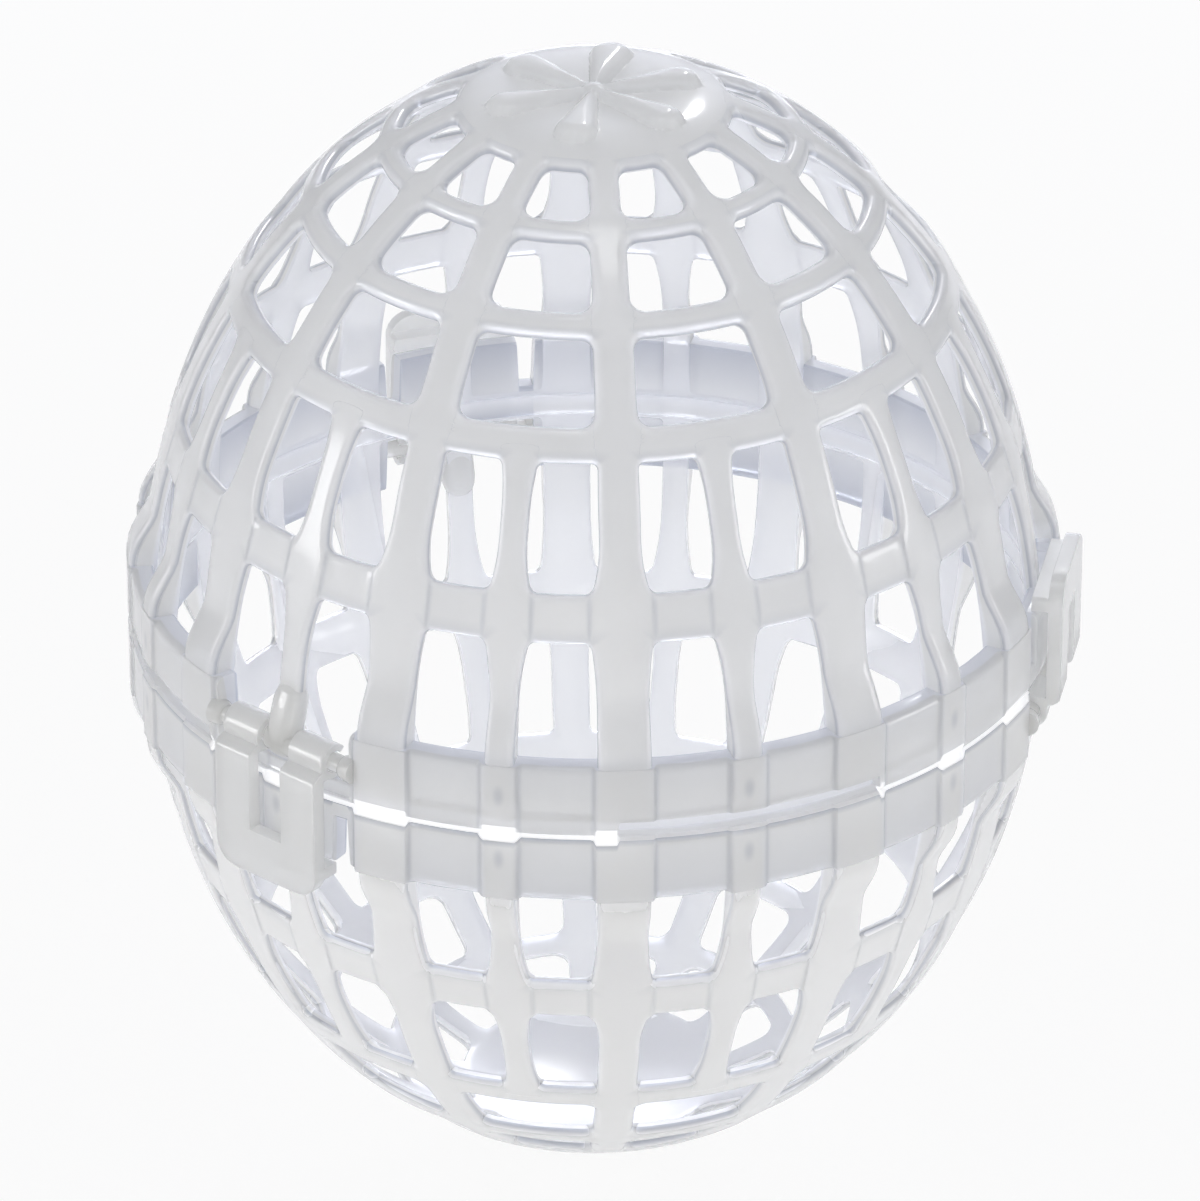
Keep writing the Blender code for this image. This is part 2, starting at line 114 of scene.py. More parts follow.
def station_place(azimuth: float, half: Half) -> np.ndarray:
    """Matrix from a station's frame to the ball.

    Args:
        azimuth: The station's azimuth in degrees.
        half: The half that carries the rod.

    Returns:
        A 4 by 4 matrix: X runs along the rod, Y outwards and Z away from the seam.
    """
    turn = Matrix.Rotation(math.radians(azimuth) + math.pi, 4, "Z")
    flip = Matrix.Rotation(math.pi, 4, "Y") if half is Half.LOWER else Matrix()
    return np.array(Matrix.Translation((0.0, 0.0, SEAM_HEIGHT)) @ turn @ flip)


def own_azimuth(half: Half, degrees: float) -> float:
    """Azimuth in a half's own frame, in radians: the lower half is turned over, so it is mirrored."""
    return math.radians(180.0 - degrees if half is Half.LOWER else degrees)


def full_turn(steps: int) -> np.ndarray:
    """Angles of a whole turn in equal steps, without its end."""
    return np.arange(steps) * (2 * math.pi / steps)


def turn_from(azimuth: np.ndarray, half: Half, degrees: float) -> np.ndarray:
    """Turn from one azimuth to others, between minus half a turn and half a turn.

    Args:
        azimuth: Azimuths in the half's own frame, in radians.
        half: Which half.
        degrees: The azimuth to start from, in degrees in the ball.

    Returns:
        Turns in radians.
    """
    return (azimuth - own_azimuth(half, degrees) + math.pi) % (2 * math.pi) - math.pi


def from_ribs(azimuth: np.ndarray, sectors: int) -> tuple[np.ndarray, np.ndarray]:
    """Turn from each azimuth to the nearest main rib, and to the nearest side rib.

    Args:
        azimuth: Azimuths in radians. A main rib is at 0.
        sectors: Number of main ribs. A side rib stands midway between two of them.

    Returns:
        The two turns in radians, never less than 0.
    """
    pitch = 2 * math.pi / sectors
    return np.abs((azimuth + pitch / 2) % pitch - pitch / 2), np.abs(azimuth % pitch - pitch / 2)


class Skin:
    """A mesh in the making: grids of points that are welded into one closed skin.

    Marks tell the finish where a point lies: "outline" how much painted shade darkens it at an edge,
    and the painted highlight mark how much painted highlight lightens it, both from 0 to 1; "past_rib"
    how many millimetres it is past a rib's edge, up to OUTER_FACE, and INNER_FACE if it looks
    inwards; "off_middle" how many millimetres it is from the middle of a side rib's pad, and AWAY if
    it isn't on the band.
    """

    WELD = 0.004 * MM
    OUTER_FACE = 5.0
    INNER_FACE = 9.0
    AWAY = 9.0
    MARKS = {"outline": 0.0, "past_rib": OUTER_FACE, "bevel": 0.0, "off_middle": AWAY}

    def __init__(self) -> None:
        """Start with nothing."""
        self.points: list[np.ndarray] = []
        self.faces: list[np.ndarray] = []
        self.polygons: list[np.ndarray] = []
        self.marks: dict[str, list[np.ndarray]] = {name: [] for name in self.MARKS}
        self.count = 0

    def grid(self, points: np.ndarray, loop_rows: bool = False, loop_columns: bool = False,
             **marks: np.ndarray) -> None:
        """Add a grid of quads.

        Args:
            points: Array of rows by columns by 3.
            loop_rows: Whether the last row joins the first.
            loop_columns: Whether the last column joins the first.
            marks: Values of the grid's points by the name of the mark.
        """
        for name, usual in self.MARKS.items():
            values = np.broadcast_to(marks.get(name, usual), points.shape[:2])
            self.marks[name].append(values.reshape(-1))
        rows, columns = points.shape[:2]
        index = np.arange(rows * columns).reshape(rows, columns) + self.count
        if loop_rows:
            index = np.vstack([index, index[:1]])
        if loop_columns:
            index = np.hstack([index, index[:, :1]])
        quads = np.stack([index[:-1, :-1], index[:-1, 1:], index[1:, 1:], index[1:, :-1]], axis=-1)
        self.faces.append(quads.reshape(-1, 4))
        self.points.append(points.reshape(-1, 3))
        self.count += rows * columns

    def polygon(self, points: np.ndarray) -> None:
        """Add one flat face of many corners.

        Args:
            points: Corners in order, an array of corners by 3.
        """
        for name, usual in self.MARKS.items():
            self.marks[name].append(np.full(len(points), usual))
        self.polygons.append(np.arange(len(points)) + self.count)
        self.points.append(points)
        self.count += len(points)

    def finish(self, name: str, place: np.ndarray, material: bpy.types.Material,
               sharp_angle: float = 40.0) -> bpy.types.Object:
        """Weld the grids, turn the faces outwards and make the object.

        Args:
            name: The object's name.
            place: Matrix from the points' frame to the ball.
            material: The finish.
            sharp_angle: Edges that turn by more than this many degrees stay crisp.

        Returns:
            The object, at the origin with its place in its mesh.
        """
        points = np.concatenate(self.points)
        points = points @ place[:3, :3].T + place[:3, 3]
        _, first, same = np.unique(np.round(points / self.WELD).astype(np.int64), axis=0,
                                   return_index=True, return_inverse=True)
        same = same.reshape(-1)
        faces = [tuple(face) for face in same[np.concatenate(self.faces)].tolist()] if self.faces else []
        faces += [tuple(same[corners].tolist()) for corners in self.polygons]
        kept = [[v for i, v in enumerate(face) if v != face[i - 1]] for face in faces]
        mesh = bpy.data.meshes.new(name)
        mesh.from_pydata(points[first].tolist(), [], [face for face in kept if len(set(face)) > 2])
        for mark, values in self.marks.items():
            told = mesh.attributes.new(mark, "FLOAT", "POINT")
            told.data.foreach_set("value", np.concatenate(values)[first].astype(np.float32))
        mesh.validate()
        bm = bmesh.new()
        bm.from_mesh(mesh)
        bmesh.ops.recalc_face_normals(bm, faces=bm.faces)
        bm.to_mesh(mesh)
        bm.free()
        mesh.shade_smooth()
        mesh.set_sharp_from_angle(angle=math.radians(sharp_angle))
        mesh.materials.append(material)
        thing = bpy.data.objects.new(name, mesh)
        bpy.context.scene.collection.objects.link(thing)
        log.info("%s: %d faces", name, len(mesh.polygons))
        return thing


@dataclass(frozen=True)
class Dome:
    """Half an egg: an ellipsoid of the given radius at the seam and height at the pole."""

    radius: float = 74.0 * MM
    height: float = 95.2 * MM
    wall: float = 2.2 * MM

    def ring_radius(self, latitude: np.ndarray) -> np.ndarray:
        """Radius of the ring at a latitude: the seam's radius times its cosine."""
        return self.radius * np.cos(latitude)

    def latitude_at(self, height: float) -> float:
        """Latitude at a height over the seam: the arc sine of the share of the pole's height."""
        return math.asin(height / self.height)

    def run(self, latitude: np.ndarray) -> np.ndarray:
        """Length of meridian for each radian of latitude, at a latitude."""
        return np.hypot(self.radius * np.sin(latitude), self.height * np.cos(latitude))

    def point(self, azimuth: np.ndarray, latitude: np.ndarray, lift: np.ndarray) -> np.ndarray:
        """Points on the ellipsoid, moved along its normal.

        Args:
            azimuth: Azimuths in radians.
            latitude: Latitudes in radians.
            lift: Distance outwards along the normal.

        Returns:
            Points, with the coordinates on the last axis.
        """
        outward = np.stack([np.sin(azimuth), -np.cos(azimuth)], axis=-1)
        run = self.run(latitude)
        across = self.height * np.cos(latitude) / run
        upward = self.radius * np.sin(latitude) / run
        radius = self.ring_radius(latitude) + lift * across
        height = self.height * np.sin(latitude) + lift * upward
        return np.concatenate([outward * radius[..., None], height[..., None]], axis=-1)


@dataclass(frozen=True)
class Row:
    """One row of windows.

    Attributes:
        bottom: Latitude in degrees of the windows' lower edge.
        top: Latitude in degrees of their upper edge.
        corner: Radius of the window's corners, as (lower, upper).
        main: Half widths of the main rib at the row's bottom, middle and top.
        side: Half widths of the side rib, or None where the row has no side ribs.
        steps: Steps up each side of a window.
    """

    bottom: float
    top: float
    corner: tuple[float, float]
    main: tuple[float, float, float]
    side: tuple[float, float, float] | None
    steps: int


@dataclass(frozen=True)
class Cell:
    """What surrounds one window, out to the middles of the ribs and rings beside it.

    Attributes:
        row: The window's row.
        left: Azimuth of the middle of the rib on the left.
        right: Azimuth of the middle of the rib on the right.
        left_main: Whether the left rib is a main rib.
        right_main: Whether the right rib is a main rib.
        low: Latitude of the lower border.
        high: Latitude of the upper border.
        across: Steps along the lower and the upper side.
    """

    row: Row
    left: float
    right: float
    left_main: bool
    right_main: bool
    low: float
    high: float
    across: int

    def border(self) -> tuple[np.ndarray, np.ndarray]:
        """The border in even steps: a rectangle of azimuth and latitude.

        Returns:
            Azimuths and latitudes, counter-clockwise from the lower left.
        """
        along = (self.right - self.left) * np.arange(self.across) / self.across
        upward = (self.high - self.low) * np.arange(self.row.steps) / self.row.steps
        azimuth = np.concatenate([self.left + along, np.full_like(upward, self.right),
                                  self.right - along, np.full_like(upward, self.left)])
        latitude = np.concatenate([np.full_like(along, self.low), self.low + upward,
                                   np.full_like(along, self.high), self.high - upward])
        return azimuth, latitude


@dataclass
class Cage:
    """The lattice dome of one half: five rows of windows, and the star on its cap."""

    half: Half
    dome: Dome = field(default_factory=Dome)
    sectors: int = 12
    rim_height: float = 2.0 * MM
    # A window's skin has loops on the face, by their share of the way from the cell's border to
    # the edge, then loops round the outer edge, down the side wall and round the inner edge
    face_shares: tuple[float, ...] = (0.0, 0.4, 0.75)
    outer_edges: tuple[float, ...] = (1.0 * MM, 1.0 * MM, 1.3 * MM, 1.5 * MM, 1.5 * MM)
    outer_angles: tuple[float, ...] = (0.0, 25.0, 48.0, 70.0, 90.0)
    side_start: float = 0.12 * MM
    inner_edge: float = 0.5 * MM
    inner_angles: tuple[float, ...] = (90.0, 45.0, 0.0)
    corner_steps: int = 3
    # Painted shade and painted highlight of the loops at the outer angles. The edge over a window faces
    # down and gets more painted shade, given from the last loop of the face on
    painted_edge_shade: tuple[float, ...] = (0.0, 0.0, 0.3, 0.9, 0.9)
    painted_edge_highlight: tuple[float, ...] = (0.1, 0.5, 0.7, 0.25, 0.0)
    painted_overhead_shade: tuple[float, ...] = (0.1, 0.25, 0.4, 0.3)
    painted_side_shade: float = 0.8
    most_painted_shade: float = 0.95
    # Ribs stand proud of the rings up to these latitudes. Above them the painted shade line and the
    # bumped step beside a rib narrow
    ring_drop: float = 0.32 * MM
    ring_slope: float = 1.1 * MM
    ring_steps: int = 15
    steps_end: tuple[float, float] = (30.0, 36.0)
    narrowing: float = 11.0
    # Run-out of the ribs' faces to the band's pads
    run_out_radius: float = 76.05 * MM
    run_out_top: float = 22.0 * MM
    band_height: float = 12.0 * MM
    root_height: float = 2.5 * MM
    root_rise: float = 3.5 * MM
    clear_angle: float = 9.2
    clear_ease: float = 1.5
    # Cap and star
    cap_edge: float = 73.4
    crest_dip: float = 1.4 * MM
    skin_dip: float = 2.8 * MM
    crest_proud: float = 0.5 * MM
    petals: int = 6
    petal_azimuth: float = 45.0
    petal_reach: float = 17.8 * MM
    petal_width: float = 7.0 * MM
    petal_root: float = 1.6 * MM
    petal_round: float = 3.0 * MM
    hub_radius: float = 2.6 * MM
    star_margin: float = 1.2 * MM
    star_rings: int = 32
    brim_rings: int = 6
    inner_rings: int = 8
    # A rib's width flares over this share of a row from each end, by this power
    flare_share: float = 0.42
    flare_power: float = 2.2
    rows: tuple[Row, ...] = (
        Row(1.75, 18.9, (0.6 * MM, 1.1 * MM), (4.5 * MM, 4.15 * MM, 4.95 * MM),
            (2.6 * MM, 2.3 * MM, 3.6 * MM), 24),
        Row(23.8, 36.9, (1.25 * MM, 1.1 * MM), (4.7 * MM, 3.33 * MM, 3.2 * MM),
            (3.4 * MM, 2.25 * MM, 2.95 * MM), 20),
        Row(40.6, 50.1, (1.9 * MM, 2.0 * MM), (3.7 * MM, 3.3 * MM, 3.2 * MM), None, 16),
        Row(53.2, 61.8, (2.2 * MM, 2.3 * MM), (3.2 * MM, 3.0 * MM, 2.9 * MM), None, 16),
        Row(64.7, 72.2, (2.2 * MM, 2.2 * MM), (2.8 * MM, 2.5 * MM, 2.3 * MM), None, 14),
    )

    def rib_half_width(self, latitude: np.ndarray, main: bool) -> np.ndarray:
        """Half width of a rib along its whole run.

        Over a ring it goes straight from one row's end width to the next row's. Within a row it is
        the middle width, and near each end a power of the closeness to that end is added.

        Args:
            latitude: Latitudes in radians.
            main: Whether the rib is a main rib.

        Returns:
            Half widths.
        """
        degrees = np.degrees(np.asarray(latitude, dtype=float))
        rows = [(row, row.main if main else row.side) for row in self.rows if main or row.side]
        places = [place for row, _ in rows for place in (row.bottom, row.top)]
        result = np.interp(degrees, places, [width for _, own in rows for width in (own[0], own[2])])
        for row, (low, middle, high) in rows:
            share = (degrees - row.bottom) / (row.top - row.bottom)
            near_low = np.clip(1 - share / self.flare_share, 0, 1) ** self.flare_power
            near_high = np.clip(1 - (1 - share) / self.flare_share, 0, 1) ** self.flare_power
            width = middle + (low - middle) * near_low + (high - middle) * near_high
            result = np.where((share >= 0) & (share <= 1), width, result)
        return result

    def past_rib(self, azimuth: np.ndarray, latitude: np.ndarray) -> np.ndarray:
        """Distance along the ring beyond the edge of the nearest rib, less than 0 on the rib.

        Args:
            azimuth: Azimuths in radians.
            latitude: Latitudes in radians.

        Returns:
            Distances, in metres.
        """
        from_main, from_side = (turn * self.dome.ring_radius(latitude)
                                for turn in from_ribs(azimuth, self.sectors))
        beyond = from_main - self.rib_half_width(latitude, True)
        side_beyond = from_side - self.rib_half_width(latitude, False)
        has_side = latitude < math.radians((self.rows[1].top + self.rows[2].bottom) / 2)
        return np.where(has_side, np.minimum(beyond, side_beyond), beyond)

    def drop(self, azimuth: np.ndarray, latitude: np.ndarray) -> np.ndarray:
        """How far the skin lies under the ribs' faces.

        It is nothing on a rib and eases to the full drop over a short slope beside it.

        Args:
            azimuth: Azimuths in radians.
            latitude: Latitudes in radians.

        Returns:
            Drops, in metres.
        """
        eased = smooth_step(self.past_rib(azimuth, latitude) / self.ring_slope)
        return self.ring_drop * eased * self.stepped(latitude)

    def run_out_at(self, azimuth: np.ndarray, latitude: np.ndarray) -> np.ndarray:
        """How far the ribs' faces stand outside the dome near the band.

        They ease out to the band's pads on a smooth step, except beside the clips, and go back to
        the dome inside the band.

        Args:
            azimuth: Azimuths in radians.
            latitude: Latitudes in radians.

        Returns:
            Distances outwards, in metres.
        """
        height = self.dome.height * np.sin(latitude)
        across = self.dome.height * np.cos(latitude) / self.dome.run(latitude)
        out = np.maximum(self.run_out_radius - self.dome.ring_radius(latitude), 0.0) / across
        out = out * smooth_step((self.run_out_top - height) / (self.run_out_top - self.band_height))
        for station in STATIONS:
            turn = np.degrees(np.abs(turn_from(azimuth, self.half, station.azimuth)))
            out = out * smooth_step((turn - self.clear_angle) / self.clear_ease)
        return out * smooth_step((height - self.root_height) / self.root_rise)

    def stepped(self, latitude: np.ndarray) -> np.ndarray:
        """1 where ribs stand proud of the rings, easing to 0 towards the cap."""
        end, start = (math.radians(v) for v in reversed(self.steps_end))
        return smooth_step((end - latitude) / (end - start))

    def outline(self, cell: Cell, grow: float) -> tuple[np.ndarray, np.ndarray]:
        """Outline of a window, grown outwards by a distance.

        The window is a rounded rectangle, as wide and tall as at its middle. Its sides are then
        bent to the ribs' own half widths, and its ends lie on two latitudes.

        Args:
            cell: The window's cell.
            grow: Distance between the window's edge and the outline.

        Returns:
            Azimuths and latitudes of the outline, counter-clockwise from the lower left.
        """
        row = cell.row
        low, high = math.radians(row.bottom), math.radians(row.top)
        middle = (low + high) / 2
        tall = float(self.dome.run(middle)) * (high - low)
        ribs = sum(float(self.rib_half_width(middle, main)) for main in (cell.left_main, cell.right_main))
        wide = (cell.right - cell.left) * float(self.dome.ring_radius(middle)) - ribs
        corners = [row.corner[0] + grow, row.corner[0] + grow, row.corner[1] + grow, row.corner[1] + grow]
        low_x, high_x, low_y, high_y = -grow, wide + grow, -grow, tall + grow
        signs = ((-1, -1), (1, -1), (1, 1), (-1, 1))
        places = ((low_x, low_y), (high_x, low_y), (high_x, high_y), (low_x, high_y))
        centres = [(x - sx * r, y - sy * r) for (x, y), (sx, sy), r in zip(places, signs, corners)]
        xs: list[np.ndarray] = []
        ys: list[np.ndarray] = []
        for side, steps in enumerate((cell.across, row.steps, cell.across, row.steps)):
            end = (side + 1) % 4
            bend = math.pi / 4 * np.arange(self.corner_steps) / self.corner_steps
            start_angle = math.radians(225 + 90 * side) + bend
            end_angle = math.radians(270 + 90 * side) + bend
            (ax, ay), (bx, by) = centres[side], centres[end]
            first_x = ax + corners[side] * np.cos(start_angle)
            first_y = ay + corners[side] * np.sin(start_angle)
            last_x = bx + corners[end] * np.cos(end_angle)
            last_y = by + corners[end] * np.sin(end_angle)
            outward = math.radians(270 + 90 * side)
            ax += corners[side] * math.cos(outward)
            ay += corners[side] * math.sin(outward)
            share = np.linspace(0, 1, steps - 2 * self.corner_steps + 1)[:-1]
            straight_x = ax + (last_x[0] - ax) * share
            straight_y = ay + (last_y[0] - ay) * share
            xs += [first_x, straight_x, last_x]
            ys += [first_y, straight_y, last_y]
        x = np.concatenate(xs) / wide
        latitude = low + np.concatenate(ys) / tall * (high - low)
        radius = self.dome.ring_radius(latitude)
        held = np.clip(latitude, low, high)
        start = cell.left + self.rib_half_width(held, cell.left_main) / radius
        stop = cell.right - self.rib_half_width(held, cell.right_main) / radius
        return start + x * (stop - start), latitude

    def add_cell(self, skin: Skin, cell: Cell) -> None:
        """Skin round one window: outer face, rounded edge, side wall, and inner face.

        Each loop runs round the window at its own distance from the edge and depth in the wall.
        The edges are quarter rounds.

        Args:
            skin: The mesh in the making.
            cell: The window's cell.
        """
        border = cell.border()
        wall, outer, inner = self.dome.wall, self.outer_edges[self.rows.index(cell.row)], self.inner_edge
        edge = self.outline(cell, outer)
        loops = [(tuple(b + (e - b) * share for b, e in zip(border, edge)), 0.0)
                 for share in self.face_shares]
        for angle in np.radians(self.outer_angles):
            place = self.outline(cell, outer * (1 - math.sin(angle)))
            loops.append((place, -outer * (1 - math.cos(angle))))
        loops.append((self.outline(cell, 0.0), -outer - self.side_start))
        outside = len(loops)
        for angle in np.radians(self.inner_angles):
            place = self.outline(cell, inner * (1 - math.sin(angle)))
            loops.append((place, inner * (1 - math.cos(angle)) - wall))
        loops.append((border, -wall))
        points, past = [], []
        for number, ((azimuth, latitude), depth) in enumerate(loops):
            lift, beyond = np.zeros_like(azimuth), np.full_like(azimuth, Skin.INNER_FACE)
            if number < outside:
                lift = self.run_out_at(azimuth, latitude) - self.drop(azimuth, latitude)
                narrowed = 1 + self.narrowing * (1 - self.stepped(latitude))
                beyond = np.minimum(self.past_rib(azimuth, latitude) / MM * narrowed, Skin.OUTER_FACE)
            points.append(self.dome.point(azimuth, latitude, depth + lift))
            past.append(beyond)
        # Painted shade on the rounded outer edge, more on the edge over the window, and a painted highlight
        # inside it
        upper_side = cell.across + cell.row.steps
        overhead = np.zeros_like(border[0])
        overhead[upper_side:upper_side + cell.across] = 1.0
        dark, painted_overhead, painted_shine = np.zeros((3, len(loops), 1))
        first = len(self.face_shares)
        dark[first:first + len(self.painted_edge_shade), 0] = self.painted_edge_shade
        painted_shine[first:first + len(self.painted_edge_highlight), 0] = self.painted_edge_highlight
        painted_overhead[first - 1:first - 1 + len(self.painted_overhead_shade), 0] = self.painted_overhead_shade
        dark = dark * (self.painted_side_shade + (1 - self.painted_side_shade) * overhead) + painted_overhead * overhead
        skin.grid(np.stack(points), loop_columns=True, outline=np.minimum(dark, self.most_painted_shade),
                  past_rib=np.stack(past), bevel=painted_shine)

    def star_height(self, x: np.ndarray, y: np.ndarray, skin_height: np.ndarray) -> np.ndarray:
        """Height of the cap's outer face, with the star on it.

        A petal is the shape between a small round root and a large round end: a point's distance
        from its axis is compared with a half width that grows along it. Petals and hub rise from
        the skin to the crest plane in a quarter round.

        Args:
            x: Distances from the axis along X.
            y: Distances from the axis along Y.
            skin_height: Height of the plain cap there.

        Returns:
            Heights over the seam.
        """
        crest = self.dome.height + self.crest_proud - self.dip(self.crest_dip)
        azimuth = np.arctan2(x, -y)
        radius = np.hypot(x, y)
        pitch = 2 * math.pi / self.petals
        turned = (azimuth - math.radians(self.petal_azimuth) + pitch / 2) % pitch - pitch / 2
        along, aside = radius * np.cos(turned), np.abs(radius * np.sin(turned))
        end = self.petal_width / 2
        centre = self.petal_reach - end
        share = np.clip(along / centre, 0.0, 1.0)
        width = self.petal_root / 2 + (end - self.petal_root / 2) * share
        inside = width - np.where(along > centre, np.hypot(along - centre, aside), aside)
        depth = np.clip(np.maximum(inside, self.hub_radius - radius) / self.petal_round, 0.0, 1.0)
        rise = np.sqrt(1 - (1 - depth) ** 2)
        return skin_height + (crest - skin_height) * rise

    def dip(self, depth: float) -> float:
        """A depth by which the upper cap lies lower than the egg shape, and 0 for the lower cap."""
        return depth if self.half is Half.UPPER else 0.0

    def sink(self, points: np.ndarray, edge: float) -> None:
        """Sink a face of the cap into the upper cap's bowl.

        The bowl is the skin's dip times the square of 1 less the square of the share of the radius.

        Args:
            points: The face's points, which are moved.
            edge: Radius of the cap.
        """
        share = np.minimum(np.hypot(points[..., 0], points[..., 1]) / edge, 1)
        points[..., 2] -= self.dip(self.skin_dip) * (1 - share ** 2) ** 2

    def cap(self, skin: Skin) -> None:
        """Cap inside the first ring: the outer face with its star, and the plain inner face.

        Args:
            skin: The mesh in the making.
        """
        azimuth = full_turn(self.sectors * self.ring_steps * 2)
        low = math.radians(self.cap_edge)
        edge = float(self.dome.ring_radius(low))
        star = (self.petal_reach + self.star_margin) * np.linspace(1, 0, self.star_rings)
        radii = np.concatenate([np.linspace(edge, star[0], self.brim_rings)[:-1], star])
        latitude = np.arccos(np.clip(radii / self.dome.radius, 0, 1))
        latitude[0], latitude[-1] = low, math.pi / 2
        a, b = np.meshgrid(azimuth, latitude)
        outer = self.dome.point(a, b, -self.drop(a, b))
        self.sink(outer, edge)
        outer[1:, :, 2] = self.star_height(outer[1:, :, 0], outer[1:, :, 1], outer[1:, :, 2])
        outer[-1, :, :2] = 0.0
        skin.grid(outer, loop_columns=True)
        a, b = np.meshgrid(azimuth, np.linspace(low, math.pi / 2, self.inner_rings))
        inner = self.dome.point(a, b, np.full_like(a, -self.dome.wall))
        self.sink(inner, edge)
        inner[-1, :, :2] = 0.0
        skin.grid(inner, loop_columns=True, past_rib=np.full_like(a, Skin.INNER_FACE))

    def rim(self, skin: Skin, low: float) -> None:
        """Edge face that closes the wall at the seam end, from the outer to the inner face.

        Args:
            skin: The mesh in the making.
            low: Latitude of the edge.
        """
        azimuth = full_turn(self.sectors * self.ring_steps * 2)
        latitude = np.full_like(azimuth, low)
        lift = self.run_out_at(azimuth, latitude) - self.drop(azimuth, latitude)
        outer = self.dome.point(azimuth, latitude, lift)
        inner = self.dome.point(azimuth, latitude, np.full_like(azimuth, -self.dome.wall))
        skin.grid(np.stack([outer, inner]), loop_columns=True)

    def build(self, material: bpy.types.Material) -> bpy.types.Object:
        """Make the lattice dome.

        Args:
            material: Its finish.

        Returns:
            The object.
        """
        skin = Skin()
        pitch = 2 * math.pi / self.sectors
        rim = self.dome.latitude_at(self.rim_height)
        borders = [rim]
        for below, above in zip(self.rows, self.rows[1:]):
            borders.append(math.radians((below.top + above.bottom) / 2))
        borders.append(math.radians(self.cap_edge))
        for row, low, high in zip(self.rows, borders, borders[1:]):
            for left in np.arange(self.sectors) * pitch:
                middle, right = left + pitch / 2, left + pitch
                if row.side is None:
                    self.add_cell(skin, Cell(row, left, right, True, True, low, high, 2 * self.ring_steps))
                    continue
                self.add_cell(skin, Cell(row, left, middle, True, False, low, high, self.ring_steps))
                self.add_cell(skin, Cell(row, middle, right, False, True, low, high, self.ring_steps))
        self.cap(skin)
        self.rim(skin, rim)
        name = f"{self.half.value}_cage"
        cage = skin.finish(name, half_place(self.half), material)
        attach(cage, self.half.value)
        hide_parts(f"{self.half.value}_shell")
        return cage


